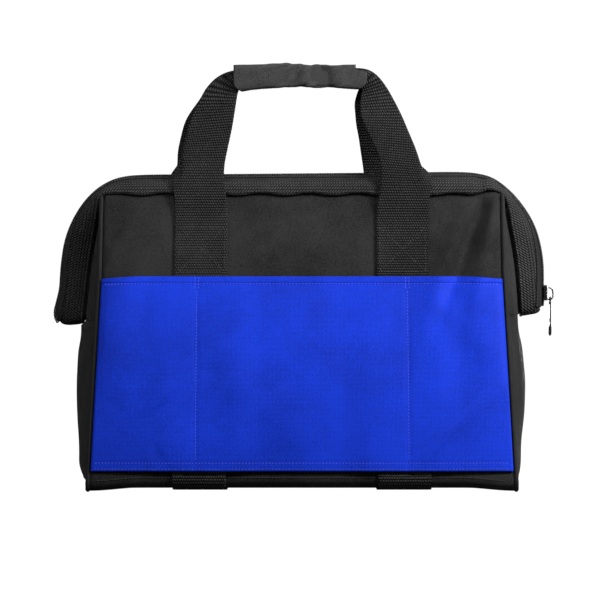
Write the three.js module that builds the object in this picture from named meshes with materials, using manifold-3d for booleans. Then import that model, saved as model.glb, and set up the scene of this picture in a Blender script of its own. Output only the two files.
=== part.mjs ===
// A wide-mouth tool bag in polyester canvas and webbing, zipped shut, standing on its base.
// Millimetres. X runs along the bag, -Y is its front, +Z is up.
// The origin lies on the floor under the middle of the bag.

import * as THREE from 'three';
import { mergeGeometries, mergeVertices } from 'three/addons/utils/BufferGeometryUtils.js';
import Module from 'manifold-3d';

const wasm = await Module();
wasm.setup();

// Body sizes
const BASE_LENGTH = 394;         // front panel's width at the floor
const TOP_LENGTH = 378;          // front panel's width at the rim
const WAIST_HEIGHT = 205;        // the panel is as narrow as its top from here up
const BAG_DEPTH = 216;           // front to back at the base
const RIM_DEPTH = 44;            // front to back at the rim seam
const SEAM_HEIGHT = 277;         // rim seam above the floor
const BASE_ROUND = 13;           // roll of the bottom edges
const BASE_LIFT = 3.4;           // how far the long bottom edges lift off the floor
const BASE_CONTACT = 84;         // depth of the stretch of base that lies flat
const PANEL_CROWN = 8;           // outward belly of the front and back panels
const CLOTH = 1.6;               // coated canvas with its lining coat
const GUSSET_CROWN = 19;         // outward belly of the end panels
const GAP = 0.3;                 // clearance between neighbouring layers

// Mouth sizes
const MOUTH_RISE = 19;           // from the rim seam to the closed mouth's ridge
const EAR_DROP = 112;            // from the rim seam down to the lower end of the ears
const EAR_REACH = 227.6;         // ridge of the ears, measured from the middle of the bag
const RIM_WEBBING = 25;          // binding round the mouth
const RIM_WEBBING_THICK = 1.5;
const RIM_GAP = 0.6;             // clearance between the binding and the cloth it covers
const RIM_REVEAL = 2.5;          // from the rim seam to the binding's edge
const RIM_TUCK = 8.5;            // cloth that runs up behind the binding
const TAPE_WIDTH = 7;
const TAPE_THICK = 1;
const COIL_WIDTH = 5.6;
const COIL_HEIGHT = 3.2;

// Strap, grip, pocket and trim sizes
const STRAP_WIDTH = 49;
const STRAP_THICK = 1.5;
const STRAP_SPACING = 190;       // between the middles of the two legs
const HANDLE_RISE = 124;         // from the rim seam to the grip's upper fold
const BACK_HANDLE_SHIFT = -5.5;  // the rear handle stands a little to the left
const FOLD_RADIUS = 1;
const GRIP_LEFT = -65.6;         // ends of the grip's upper edge, measured from the bag's middle
const GRIP_RIGHT = 51.6;
const GRIP_SKEW = 10.4;          // the wound cloth's free flap ends this much further right
const GRIP_SLANT = 8;            // the ends are cut back this much below
const GRIP_CLOTH = 1.6;
const GRIP_DEPTH = 9.4;          // hollow of the sleeve, front to back
const GRIP_HEIGHT = 17.2;        // hollow of the sleeve, top to bottom, at its middle
const GRIP_FLARE = 3.4;          // the sleeve's ends are this much taller than its middle
const GRIP_DROP = 3;             // the sleeve's left end hangs this much below its middle
const GRIP_UP = 0.943;           // share of the handle's rise at the sleeve's middle
const GRIP_TURNS = 1.21;         // how far the cloth is wound round
const GRIP_FLAP = 0.18;          // turns by which the free flap is shorter at its right end
const GRIP_ROUNDNESS = 0.38;     // 1 would make the sleeve's section an ellipse
const PIPING_WIDTH = 3.4;
const PIPING_INSET = 1;
const END_PANEL_INSET = 3.2;
const POCKET_TOP = 202;
const POCKET_BOTTOM = 20.7;
const POCKET_CLOTH = 1.2;
const POCKET_CROWN = 2.5;        // fullness of each compartment
const POCKET_EASE = 0.4;         // slack between the pocket and what it lies on
const POCKET_SIDE = 0.5;         // the pocket stops this far inside the piping
const STRAP_BESIDE = 9;          // the pocket comes down to the panel this far beside a strap
const STRAP_SLOPE = 6;           // over this width

// Zipper pull sizes
const SLIDER_UP = 21;            // from the lower end of the right ear to the slider's middle
const SLIDER_LENGTH = 15;
const SLIDER_WIDTH = 8.6;
const SLIDER_WALL = 2.6;
const CROWN_LENGTH = 13;
const CROWN_REACH = 6.2;
const CROWN_BAR = 1.5;
const CROWN_WIDTH = 2.4;
const PULL_LENGTH = 37;
const PULL_WIDTH = 8;
const PULL_THICK = 1.8;
const PULL_END_THICK = 2.8;
const PULL_END = 9;              // length of the pull's thicker end
const PULL_EYE = 6.5;            // length of the slot at the pull's head
const PULL_SHOULDER = 7;         // the pull is at its widest this far below its pivot

// The mouth's ridge and its seam, from the rim's top corner to the foot of each ear.
// out: share of the way from the panel's top corner to the ear's ridge.
// up: share of the way from the ear's foot to the mouth's ridge.
// fwd and lip: shares of half the rim's depth, for the seam and for the roll beside the ridge.
const RIGHT_EAR = [
  { out: -1.01, up: 1.01, seamOut: -1.01, seamUp: 0.855, fwd: 1.00, lip: 0.55 },
  { out: -0.47, up: 0.995, seamOut: -0.48, seamUp: 0.855, fwd: 1.07, lip: 0.62 },
  { out: -0.14, up: 0.96, seamOut: -0.20, seamUp: 0.856, fwd: 1.14, lip: 0.74 },
  { out: 0.18, up: 0.888, seamOut: -0.02, seamUp: 0.846, fwd: 1.16, lip: 0.80 },
  { out: 0.46, up: 0.797, seamOut: 0.09, seamUp: 0.768, fwd: 1.06, lip: 0.68 },
  { out: 0.725, up: 0.676, seamOut: 0.17, seamUp: 0.655, fwd: 0.92, lip: 0.56 },
  { out: 0.895, up: 0.542, seamOut: 0.26, seamUp: 0.528, fwd: 0.76, lip: 0.46 },
  { out: 0.99, up: 0.378, seamOut: 0.35, seamUp: 0.362, fwd: 0.64, lip: 0.40 },
  { out: 1.00, up: 0.190, seamOut: 0.41, seamUp: 0.180, fwd: 0.57, lip: 0.36 },
  { out: 1.00, up: 0.066, seamOut: 0.44, seamUp: 0.056, fwd: 0.50, lip: 0.32 },
  { out: 0.94, up: 0.028, seamOut: 0.455, seamUp: 0.020, fwd: 0.38, lip: 0.22 },
  { out: 0.74, up: 0.014, seamOut: 0.46, seamUp: 0.004, fwd: 0.20, lip: 0.12 },
  { out: 0.56, up: 0.006, seamOut: 0.46, seamUp: 0.000, fwd: 0.00, lip: 0.00 },
];
const LEFT_EAR = [
  { out: -1.01, up: 0.99, seamOut: -1.01, seamUp: 0.855, fwd: 1.00, lip: 0.55 },
  { out: -0.45, up: 0.975, seamOut: -0.48, seamUp: 0.855, fwd: 1.07, lip: 0.62 },
  { out: -0.08, up: 0.935, seamOut: -0.20, seamUp: 0.856, fwd: 1.14, lip: 0.74 },
  { out: 0.23, up: 0.870, seamOut: -0.02, seamUp: 0.846, fwd: 1.14, lip: 0.80 },
  { out: 0.50, up: 0.779, seamOut: 0.06, seamUp: 0.766, fwd: 0.90, lip: 0.76 },
  { out: 0.735, up: 0.660, seamOut: 0.14, seamUp: 0.650, fwd: 0.58, lip: 0.74 },
  { out: 0.90, up: 0.523, seamOut: 0.23, seamUp: 0.512, fwd: 0.36, lip: 0.72 },
  { out: 0.985, up: 0.359, seamOut: 0.32, seamUp: 0.344, fwd: 0.26, lip: 0.72 },
  { out: 1.03, up: 0.190, seamOut: 0.38, seamUp: 0.190, fwd: 0.24, lip: 0.70 },
  { out: 1.11, up: 0.084, seamOut: 0.42, seamUp: 0.084, fwd: 0.24, lip: 0.66 },
  { out: 1.16, up: 0.020, seamOut: 0.44, seamUp: 0.035, fwd: 0.26, lip: 0.58 },
  { out: 1.12, up: -0.036, seamOut: 0.45, seamUp: -0.008, fwd: 0.26, lip: 0.42 },
  { out: 0.95, up: -0.060, seamOut: 0.46, seamUp: -0.034, fwd: 0.18, lip: 0.26 },
  { out: 0.66, up: -0.056, seamOut: 0.47, seamUp: -0.042, fwd: 0.00, lip: 0.00 },
];
const TOP_STEPS = 6;
const LEFT_CHAIN_END = 1.8;      // rows from an ear's foot to the chain's end
const RIGHT_CHAIN_FOOT = 2.8;
const HOOD_ROWS = 5;             // rows of an ear's table above the end panel's top

// The end panels' belly: up is a share of the ear's height, out a share of the crown.
const END_BELLY = [
  { up: 0.00, out: 0.05 },
  { up: 0.05, out: 0.42 },
  { up: 0.12, out: 0.56 },
  { up: 0.24, out: 0.62 },
  { up: 0.42, out: 0.88 },
  { up: 0.60, out: 1.00 },
  { up: 0.80, out: 0.92 },
  { up: 1.00, out: 0.72 },
];

// Handle legs where they turn into the grip. out: share of half the strap spacing,
// up: share of the handle's rise above the rim seam. fold: share of a half turn
// by which the strap's outer edge has folded behind it.
const LEFT_TURN = [
  { outerOut: 1.250, outerUp: 0.00, innerOut: 0.758, innerUp: 0.00, fold: 0.00 },
  { outerOut: 1.215, outerUp: 0.13, innerOut: 0.780, innerUp: 0.13, fold: 0.10 },
  { outerOut: 1.205, outerUp: 0.25, innerOut: 0.776, innerUp: 0.25, fold: 0.50 },
  { outerOut: 1.195, outerUp: 0.37, innerOut: 0.745, innerUp: 0.38, fold: 0.85 },
  { outerOut: 1.155, outerUp: 0.50, innerOut: 0.705, innerUp: 0.53, fold: 1.00 },
  { outerOut: 1.105, outerUp: 0.63, innerOut: 0.680, innerUp: 0.65, fold: 1.00 },
  { outerOut: 1.035, outerUp: 0.74, innerOut: 0.662, innerUp: 0.74, fold: 1.00 },
  { outerOut: 0.955, outerUp: 0.85, innerOut: 0.650, innerUp: 0.80, fold: 1.00 },
  { outerOut: 0.850, outerUp: 0.93, innerOut: 0.635, innerUp: 0.835, fold: 1.00 },
  { outerOut: 0.720, outerUp: 0.975, innerOut: 0.600, innerUp: 0.85, fold: 1.00 },
  { outerOut: 0.560, outerUp: 0.99, innerOut: 0.540, innerUp: 0.862, fold: 1.00 },
  { outerOut: 0.280, outerUp: 1.00, innerOut: 0.280, innerUp: 0.884, fold: 1.00 },
];
const RIGHT_TURN = [
  { outerOut: 1.250, outerUp: 0.00, innerOut: 0.765, innerUp: 0.00, fold: 0.00 },
  { outerOut: 1.235, outerUp: 0.13, innerOut: 0.790, innerUp: 0.14, fold: 0.10 },
  { outerOut: 1.190, outerUp: 0.25, innerOut: 0.780, innerUp: 0.28, fold: 0.50 },
  { outerOut: 1.140, outerUp: 0.37, innerOut: 0.725, innerUp: 0.40, fold: 0.85 },
  { outerOut: 1.070, outerUp: 0.50, innerOut: 0.650, innerUp: 0.52, fold: 1.00 },
  { outerOut: 1.000, outerUp: 0.63, innerOut: 0.595, innerUp: 0.63, fold: 1.00 },
  { outerOut: 0.930, outerUp: 0.74, innerOut: 0.588, innerUp: 0.72, fold: 1.00 },
  { outerOut: 0.850, outerUp: 0.85, innerOut: 0.600, innerUp: 0.80, fold: 1.00 },
  { outerOut: 0.765, outerUp: 0.935, innerOut: 0.605, innerUp: 0.868, fold: 1.00 },
  { outerOut: 0.670, outerUp: 0.985, innerOut: 0.580, innerUp: 0.880, fold: 1.00 },
  { outerOut: 0.540, outerUp: 1.00, innerOut: 0.520, innerUp: 0.884, fold: 1.00 },
  { outerOut: 0.280, outerUp: 1.005, innerOut: 0.280, innerUp: 0.886, fold: 1.00 },
];

const BACK_RIGHT_TURN = [
  { outerOut: 1.241, outerUp: 0.00, innerOut: 0.742, innerUp: 0.00, fold: 0.00 },
  { outerOut: 1.195, outerUp: 0.13, innerOut: 0.700, innerUp: 0.13, fold: 0.05 },
  { outerOut: 1.153, outerUp: 0.25, innerOut: 0.677, innerUp: 0.25, fold: 0.20 },
  { outerOut: 1.111, outerUp: 0.37, innerOut: 0.653, innerUp: 0.37, fold: 0.45 },
  { outerOut: 1.063, outerUp: 0.50, innerOut: 0.626, innerUp: 0.50, fold: 0.75 },
  { outerOut: 0.990, outerUp: 0.63, innerOut: 0.587, innerUp: 0.63, fold: 1.00 },
  { outerOut: 0.907, outerUp: 0.74, innerOut: 0.550, innerUp: 0.73, fold: 1.00 },
  { outerOut: 0.842, outerUp: 0.85, innerOut: 0.556, innerUp: 0.80, fold: 1.00 },
  { outerOut: 0.765, outerUp: 0.935, innerOut: 0.578, innerUp: 0.858, fold: 1.00 },
  { outerOut: 0.670, outerUp: 0.985, innerOut: 0.568, innerUp: 0.877, fold: 1.00 },
  { outerOut: 0.540, outerUp: 1.00, innerOut: 0.515, innerUp: 0.884, fold: 1.00 },
  { outerOut: 0.280, outerUp: 1.005, innerOut: 0.280, innerUp: 0.886, fold: 1.00 },
];

// Soft folds in the upper front panel. x: share of half the panel's width, up: share of its
// height, lean: sideways run over the fold's length, reach and depth in shares of the crown.
const PANEL_FOLDS = [
  { x: 0.84, up: 0.86, lean: -0.10, tall: 0.16, wide: 0.045, depth: -0.42 },
  { x: 0.92, up: 0.84, lean: -0.08, tall: 0.16, wide: 0.035, depth: 0.22 },
  { x: 0.74, up: 0.82, lean: -0.10, tall: 0.18, wide: 0.050, depth: 0.26 },
  { x: -0.90, up: 0.86, lean: 0.12, tall: 0.14, wide: 0.045, depth: 0.24 },
  { x: -0.72, up: 0.80, lean: 0.04, tall: 0.16, wide: 0.100, depth: 0.26 },
];

const MOUTH_HEIGHT = SEAM_HEIGHT + MOUTH_RISE;
const EAR_HEIGHT = SEAM_HEIGHT - EAR_DROP;
const SLIDER_HEIGHT = EAR_HEIGHT + SLIDER_UP;
const HALF_BASE = BASE_LENGTH / 2;
const HALF_TOP = TOP_LENGTH / 2;
const HALF_DEPTH = BAG_DEPTH / 2;
const HALF_RIM = RIM_DEPTH / 2;
const FLOOR_CLOTH = STRAP_THICK + GAP;   // the base's underside, over the straps under it
const ROLL_LENGTH = BASE_ROUND * 1.6;    // girth of the rolled edge
const BASE_HALF = HALF_DEPTH - BASE_ROUND;
const PANEL_START = BASE_HALF + ROLL_LENGTH;

// Rows that the wrap, the straps and the piping share, from the rim down to the base's
// middle: shares of the seam's height, of the roll's length and of the base's half depth.
const PANEL_SHARES = [0.953, 0.848, 0.729, 0.596, 0.433, 0.271, 0.144];
const ROLL_SHARES = [1, 2 / 3, 1 / 3, 0];
const BASE_SHARES = [0.72, 0.45];
const PANEL_HEIGHTS = PANEL_SHARES.map((share) => share * SEAM_HEIGHT);

const clamp01 = (value) => Math.min(1, Math.max(0, value));
const mix = (a, b, share) => a + (b - a) * share;
const smooth = (value) => clamp01(value) ** 2 * (3 - 2 * clamp01(value));

// Smooth curve through one column of a table, at a position counted in rows.
function follow(rows, column, position) {
  const last = rows.length - 1;
  const index = Math.min(last - 1, Math.max(0, Math.floor(position)));
  const t = position - index;
  const value = (row) => rows[Math.min(last, Math.max(0, row))][column];
  const [a, b, c, d] = [value(index - 1), value(index), value(index + 1), value(index + 2)];
  const slopeIn = (c - a) / 2;
  const slopeOut = (d - b) / 2;
  return (2 * t ** 3 - 3 * t ** 2 + 1) * b + (t ** 3 - 2 * t ** 2 + t) * slopeIn
    + (-2 * t ** 3 + 3 * t ** 2) * c + (t ** 3 - t ** 2) * slopeOut;
}

// Straight steps through a table, looked up by the value in its key column.
function lookUp(rows, key, wanted, column) {
  let index = 0;
  while (index < rows.length - 2 && rows[index + 1][key] < wanted) index += 1;
  const span = rows[index + 1][key] - rows[index][key];
  const share = clamp01((wanted - rows[index][key]) / span);
  return mix(rows[index][column], rows[index + 1][column], smooth(share) * 0.4 + share * 0.6);
}

const steps = (count, from = 0, to = 1) =>
  Array.from({ length: count + 1 }, (_, i) => mix(from, to, i / count));

// A grid of points, one list of points for each row, as an open surface.
function gridSurface(rows) {
  const across = rows[0].length;
  const index = [];
  for (let r = 0; r < rows.length - 1; r += 1) {
    for (let c = 0; c < across - 1; c += 1) {
      const a = r * across + c;
      index.push(a, a + 1, a + across + 1, a, a + across + 1, a + across);
    }
  }
  const geometry = new THREE.BufferGeometry().setFromPoints(rows.flat());
  geometry.setIndex(index);
  return geometry;
}

// Several surfaces sewn into one where their points meet.
const sewn = (surfaces) => mergeVertices(mergeGeometries(surfaces), 1e-3);

// The same surface on the other side of the plane Y = 0, still facing outwards.
function mirroredFrontToBack(surface) {
  const copy = surface.clone().applyMatrix4(new THREE.Matrix4().makeScale(1, -1, 1));
  const turned = Array.from(copy.getIndex().array);
  for (let i = 0; i < turned.length; i += 3) {
    [turned[i + 1], turned[i + 2]] = [turned[i + 2], turned[i + 1]];
  }
  copy.setIndex(turned);
  return copy;
}

// A layer of cloth over a surface: two faces, from and to away from it, closed along its edges.
function clothLayer(surface, from, to) {
  const open = mergeVertices(surface, 1e-3);
  const source = Array.from(open.getIndex().array);
  const faces = [];
  for (let i = 0; i < source.length; i += 3) {
    const [a, b, c] = source.slice(i, i + 3);
    if (a !== b && b !== c && c !== a) faces.push([a, b, c]);
  }
  open.setIndex(faces.flat());
  open.computeVertexNormals();
  const position = open.getAttribute('position');
  const normal = open.getAttribute('normal');
  const count = position.count;
  const points = [];
  for (const away of [to, from]) {
    for (let i = 0; i < count; i += 1) {
      const offset = new THREE.Vector3().fromBufferAttribute(normal, i).multiplyScalar(away);
      points.push(new THREE.Vector3().fromBufferAttribute(position, i).add(offset));
    }
  }
  const edges = new Set(faces.flatMap(([a, b, c]) => [`${a},${b}`, `${b},${c}`, `${c},${a}`]));
  const index = [];
  for (const [a, b, c] of faces) index.push(a, b, c, count + a, count + c, count + b);
  for (const edge of edges) {
    const [a, b] = edge.split(',').map(Number);
    if (!edges.has(`${b},${a}`)) index.push(b, a, count + a, b, count + a, count + b);
  }
  const solid = new THREE.BufferGeometry().setFromPoints(points);
  solid.setIndex(index);
  return solid;
}

// A closed tube through rings of points, with flat ends.
function tube(rings) {
  const sides = rings[0].length;
  const rows = rings.map((ring) => [...ring, ring[0]]);
  const caps = [[...rings[0]].reverse(), rings[rings.length - 1]].map((ring) => {
    const middle = ring.reduce((sum, p) => sum.add(p), new THREE.Vector3()).divideScalar(sides);
    const cap = new THREE.BufferGeometry().setFromPoints([middle, ...ring]);
    cap.setIndex(ring.flatMap((_, i) => [0, 1 + i, 1 + ((i + 1) % sides)]));
    return cap;
  });
  const skin = gridSurface(rows);
  return mergeVertices(mergeGeometries([skin, ...caps]), 1e-4);
}

// How far the base's underside stands above the floor.
function baseHeight(x, y) {
  const outOfContact = smooth((Math.abs(y) - BASE_CONTACT / 2) / (HALF_DEPTH - BASE_CONTACT / 2));
  const awayFromCorner = smooth((HALF_BASE - Math.abs(x)) / (HALF_BASE * 0.25));
  return FLOOR_CLOTH + BASE_LIFT * outOfContact * awayFromCorner;
}

const halfWidth = (z) => mix(HALF_BASE, HALF_TOP, clamp01(z / WAIST_HEIGHT));

// Raised and sunk folds of the upper panel, as one height.
function foldsAt(x, z) {
  let height = 0;
  for (const fold of PANEL_FOLDS) {
    const along = (z / SEAM_HEIGHT - fold.up) / fold.tall;
    const across = (x / HALF_TOP - fold.x - fold.lean * along) / fold.wide;
    height += fold.depth * PANEL_CROWN * Math.exp(-(along ** 2) - across ** 2);
  }
  return height;
}

// Distance of the front panel's outer face from the plane Y = 0.
function panelDepth(x, z) {
  const up = z / SEAM_HEIGHT;
  const widthShare = clamp01(Math.abs(x) / halfWidth(z));
  const rimHere = HALF_RIM * mix(1, 1.14, smooth((widthShare - 0.75) / 0.25));
  const belly = PANEL_CROWN * Math.sin(Math.PI * clamp01(up)) * (1 - 0.55 * widthShare ** 3);
  return mix(HALF_DEPTH, rimHere, up) + belly;
}

// Point of the bag's skin over the base, its rolled edge and a panel.
// girth: distance from the base's middle, negative towards the front.
function skinPoint(x, girth, inset = 0) {
  const sign = girth < 0 ? -1 : 1;
  const along = Math.abs(girth);
  if (along <= BASE_HALF) {
    return new THREE.Vector3(x, girth, baseHeight(x, girth) + inset);
  }
  const rollFoot = baseHeight(x, HALF_DEPTH) + inset;
  const rollTop = rollFoot + BASE_ROUND;
  if (along < PANEL_START) {
    const t = (along - BASE_HALF) / ROLL_LENGTH;
    const outer = panelDepth(x, rollTop) - inset;
    const y = (1 - t) ** 2 * BASE_HALF + 2 * t * (1 - t) * (HALF_DEPTH - inset) + t ** 2 * outer;
    return new THREE.Vector3(x, sign * y, rollFoot + BASE_ROUND * t ** 2);
  }
  const z = rollTop + (along - PANEL_START);
  const folds = sign < 0 ? foldsAt(x, z) : 0;
  return new THREE.Vector3(x, sign * (panelDepth(x, z) + folds - inset), z);
}
const girthAtHeight = (x, z) => PANEL_START + z - (baseHeight(x, HALF_DEPTH) + BASE_ROUND);

// Rows of the whole mouth, from the left ear's foot over the top to the right ear's foot.
function mouthRow(row, side) {
  const reach = EAR_REACH - HALF_TOP;
  const rise = MOUTH_HEIGHT - EAR_HEIGHT;
  return {
    coilX: side * (HALF_TOP + row.out * reach),
    coilZ: EAR_HEIGHT + row.up * rise,
    seamX: side * (HALF_TOP + row.seamOut * reach),
    seamZ: EAR_HEIGHT + row.seamUp * rise,
    seamY: -row.fwd * HALF_RIM,
    lipY: -row.lip * HALF_RIM,
  };
}
const leftRows = LEFT_EAR.map((row) => mouthRow(row, -1)).reverse();
const rightRows = RIGHT_EAR.map((row) => mouthRow(row, 1));
const topRows = steps(TOP_STEPS).slice(1, -1).map((share) => {
  const from = leftRows[leftRows.length - 1];
  const to = rightRows[0];
  return Object.fromEntries(Object.keys(from).map((key) => [key, mix(from[key], to[key], share)]));
});
const MOUTH = [...leftRows, ...topRows, ...rightRows];
const MOUTH_END = MOUTH.length - 1;
const LEFT_SHOULDER = leftRows.length - 1;
const RIGHT_SHOULDER = MOUTH_END - (rightRows.length - 1);
const RIGHT_CHAIN_END = MOUTH_END - RIGHT_CHAIN_FOOT;
const CHAIN_ROWS = [LEFT_CHAIN_END + 0.1, ...steps(MOUTH_END, 0, MOUTH_END).filter(
  (row) => row > LEFT_CHAIN_END && row < RIGHT_CHAIN_END), RIGHT_CHAIN_END - 0.1];

// The rim's front section at one place along the mouth: a cubic curve that rises from
// the seam, rolls over its lip and ends on the ridge, as points with their distances.
const SECTION_STEPS = 24;
const sectionCache = new Map();
function rimSection(position) {
  if (sectionCache.has(position)) return sectionCache.get(position);
  const at = (column) => follow(MOUTH, column, position);
  const seam = new THREE.Vector3(at('seamX'), at('seamY'), at('seamZ'));
  const ridge = new THREE.Vector3(at('coilX'), 0, at('coilZ'));
  const rising = new THREE.Vector3(ridge.x - seam.x, 0, ridge.z - seam.z).multiplyScalar(0.55);
  const lip = ridge.clone().add(new THREE.Vector3(0, at('lipY'), 0));
  const curve = new THREE.CubicBezierCurve3(seam, seam.clone().add(rising), lip, ridge);
  const points = curve.getPoints(SECTION_STEPS);
  const lengths = [0];
  for (let i = 1; i < points.length; i += 1) {
    lengths.push(lengths[i - 1] + points[i].distanceTo(points[i - 1]));
  }
  const section = { points, lengths, total: lengths[SECTION_STEPS] };
  sectionCache.set(position, section);
  return section;
}

// Point on the rim, a distance up from its seam, not past the ridge.
function rimPoint(position, distance) {
  const { points, lengths, total } = rimSection(position);
  if (distance >= total) return points[SECTION_STEPS].clone();
  let i = 0;
  while (lengths[i + 1] < distance) i += 1;
  const share = (distance - lengths[i]) / (lengths[i + 1] - lengths[i]);
  return points[i].clone().lerp(points[i + 1], share);
}

// Place along the mouth where the seam crosses a given X of the top stretch.
function mouthAtX(x) {
  let low = LEFT_SHOULDER - 4;
  let high = RIGHT_SHOULDER + 4;
  for (let i = 0; i < 40; i += 1) {
    const middle = (low + high) / 2;
    if (follow(MOUTH, 'seamX', middle) < x) low = middle;
    else high = middle;
  }
  return (low + high) / 2;
}

// X of the wrap's columns across a row of a given half width; three of them follow each strap.
function wrapColumns(half) {
  const middle = STRAP_SPACING / 2;
  const inner = middle - STRAP_WIDTH / 2;
  const outer = middle + STRAP_WIDTH / 2;
  const right = [inner / 2, inner, middle, outer, mix(outer, half, 0.4), mix(outer, half, 0.75), half];
  return [...right.map((x) => -x).reverse(), 0, ...right];
}

// Front panel, base and back panel: one length of canvas from rim to rim.
function bodyWrap() {
  const front = [RIM_TUCK, 0].map((distance) =>
    wrapColumns(HALF_TOP - GAP).map((x) => rimPoint(mouthAtX(x), distance)));
  for (const z of PANEL_HEIGHTS) {
    front.push(wrapColumns(halfWidth(z)).map((x) => skinPoint(x, -girthAtHeight(x, z))));
  }
  const low = ROLL_SHARES.map((share) => BASE_HALF + share * ROLL_LENGTH);
  for (const girth of [...low, ...BASE_SHARES.map((share) => share * BASE_HALF), 0]) {
    const half = halfWidth(skinPoint(HALF_BASE, -girth).z);
    front.push(wrapColumns(half).map((x) => skinPoint(x, -girth)));
  }
  const half = gridSurface(front.map((row) => [...row].reverse()));
  return clothLayer(sewn([half, mirroredFrontToBack(half)]), -CLOTH, 0);
}

// Edge of an end panel at a height, just inside the piping.
function endEdge(side, z) {
  const x = side * (halfWidth(z) + PIPING_WIDTH / 2);
  const foot = FLOOR_CLOTH + END_PANEL_INSET;
  const rollTop = foot + BASE_ROUND;
  const t = Math.sqrt(clamp01((z - foot) / BASE_ROUND));
  const girth = z < rollTop ? BASE_HALF + t * ROLL_LENGTH : PANEL_START + z - rollTop;
  const point = skinPoint(Math.abs(x), -girth - 1e-6, END_PANEL_INSET);
  point.x = x;
  point.z = z;
  return point;
}

// One end of the bag: it bellies out between the two panels and opens above into the ear.
function endPanel(side) {
  const footRow = side < 0 ? 0 : MOUTH_END;
  const towardsTop = side < 0 ? 1 : -1;
  const foot = follow(MOUTH, 'seamZ', footRow);
  const footOut = Math.abs(follow(MOUTH, 'seamX', footRow));
  const across = [0, 0.1, 0.25, 0.45, 0.7, 1];   // shares of the way to the end's middle
  const rows = [];
  const addRow = (edge, inner, belly) => rows.push(across.map((share) => {
    const out = 1 - (1 - share) ** belly;
    return new THREE.Vector3(
      mix(edge.x, inner.x, out), mix(edge.y, inner.y, share), mix(edge.z, inner.z, share));
  }));
  const bottom = FLOOR_CLOTH + END_PANEL_INSET;
  for (const share of [0, 0.025, 0.06, 0.11, 0.2, 0.34, 0.5, 0.66, 0.82, 0.93]) {
    const z = mix(bottom, foot, share);
    const edge = endEdge(side, z);
    const free = halfWidth(z) + PIPING_WIDTH / 2 + GUSSET_CROWN * lookUp(END_BELLY, 'up', share, 'out');
    const out = mix(free, footOut, smooth((share - 0.8) / 0.2));
    addRow(edge, new THREE.Vector3(side * out, 0, z), 2.3);
  }
  const earRows = (side < 0 ? LEFT_EAR : RIGHT_EAR).length - HOOD_ROWS;
  const stations = steps(earRows, 0, earRows).map((row) => footRow + towardsTop * row);
  for (const station of stations) {
    const seam = rimPoint(station, 0);
    addRow(endEdge(side, seam.z), seam, 2);
  }
  const tuck = stations.map((station) => [0, 0.5, 1].map((share) =>
    rimPoint(station, Math.min(share * RIM_TUCK, share * rimSection(station).total))));
  const surfaces = [gridSurface(rows), gridSurface(tuck)];
  const front = sewn(surfaces);
  const whole = sewn([front, mirroredFrontToBack(front)]);
  return clothLayer(side < 0 ? turnedOver(whole) : whole, -CLOTH, 0);
}

// The same surface facing the other way.
function turnedOver(surface) {
  const turned = Array.from(surface.getIndex().array);
  for (let i = 0; i < turned.length; i += 3) {
    [turned[i + 1], turned[i + 2]] = [turned[i + 2], turned[i + 1]];
  }
  surface.setIndex(turned);
  return surface;
}

// Webbing that binds the whole mouth and closes round the foot of both ears.
function rimWebbing() {
  const rows = steps(MOUTH_END).map((share) => {
    const position = share * MOUTH_END;
    const total = rimSection(position).total;
    const from = Math.min(RIM_REVEAL, total * 0.4);
    const closed = position < LEFT_CHAIN_END || position > RIGHT_CHAIN_END;
    const room = closed ? total : total - COIL_WIDTH / 2 - 3 * GAP;
    const to = Math.min(RIM_REVEAL + RIM_WEBBING, room);
    return steps(5).map((part) => rimPoint(position, mix(from, to, part)));
  });
  const front = gridSurface(rows);
  const ring = sewn([front, mirroredFrontToBack(front)]);
  return clothLayer(turnedOver(ring), RIM_GAP, RIM_GAP + RIM_WEBBING_THICK);
}

// One side of the zipper's tape, laid over the webbing's edge.
function zipperTape() {
  const low = 2 * RIM_GAP + RIM_WEBBING_THICK;
  const rows = CHAIN_ROWS.map((position) => {
    const ridge = rimSection(position).total;
    const edge = ridge - COIL_WIDTH / 2 - GAP;
    return steps(2).map((share) => rimPoint(position, mix(edge - TAPE_WIDTH, edge, share)));
  });
  return clothLayer(turnedOver(gridSurface(rows)), low, low + TAPE_THICK);
}

// Ridge line at a position, with the direction along it and the direction out of the bag.
function ridgeFrame(position) {
  const at = (place) => new THREE.Vector3(
    follow(MOUTH, 'coilX', place), 0, follow(MOUTH, 'coilZ', place));
  const along = at(position + 0.05).sub(at(position - 0.05)).normalize();
  const out = new THREE.Vector3(-along.z, 0, along.x);
  return { point: at(position), along, out };
}

// Height of the chain's middle above the ridge.
const COIL_CENTRE = 2 * RIM_GAP + RIM_WEBBING_THICK + TAPE_THICK / 2;
function zipperCoil() {
  const angles = steps(8).slice(0, -1).map((share) => share * 2 * Math.PI);
  return tube(CHAIN_ROWS.map((position) => {
    const { point, out } = ridgeFrame(position);
    return angles.map((angle) => point.clone()
      .addScaledVector(out, COIL_CENTRE + Math.sin(angle) * COIL_HEIGHT / 2)
      .add(new THREE.Vector3(0, Math.cos(angle) * COIL_WIDTH / 2, 0)));
  }));
}

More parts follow.
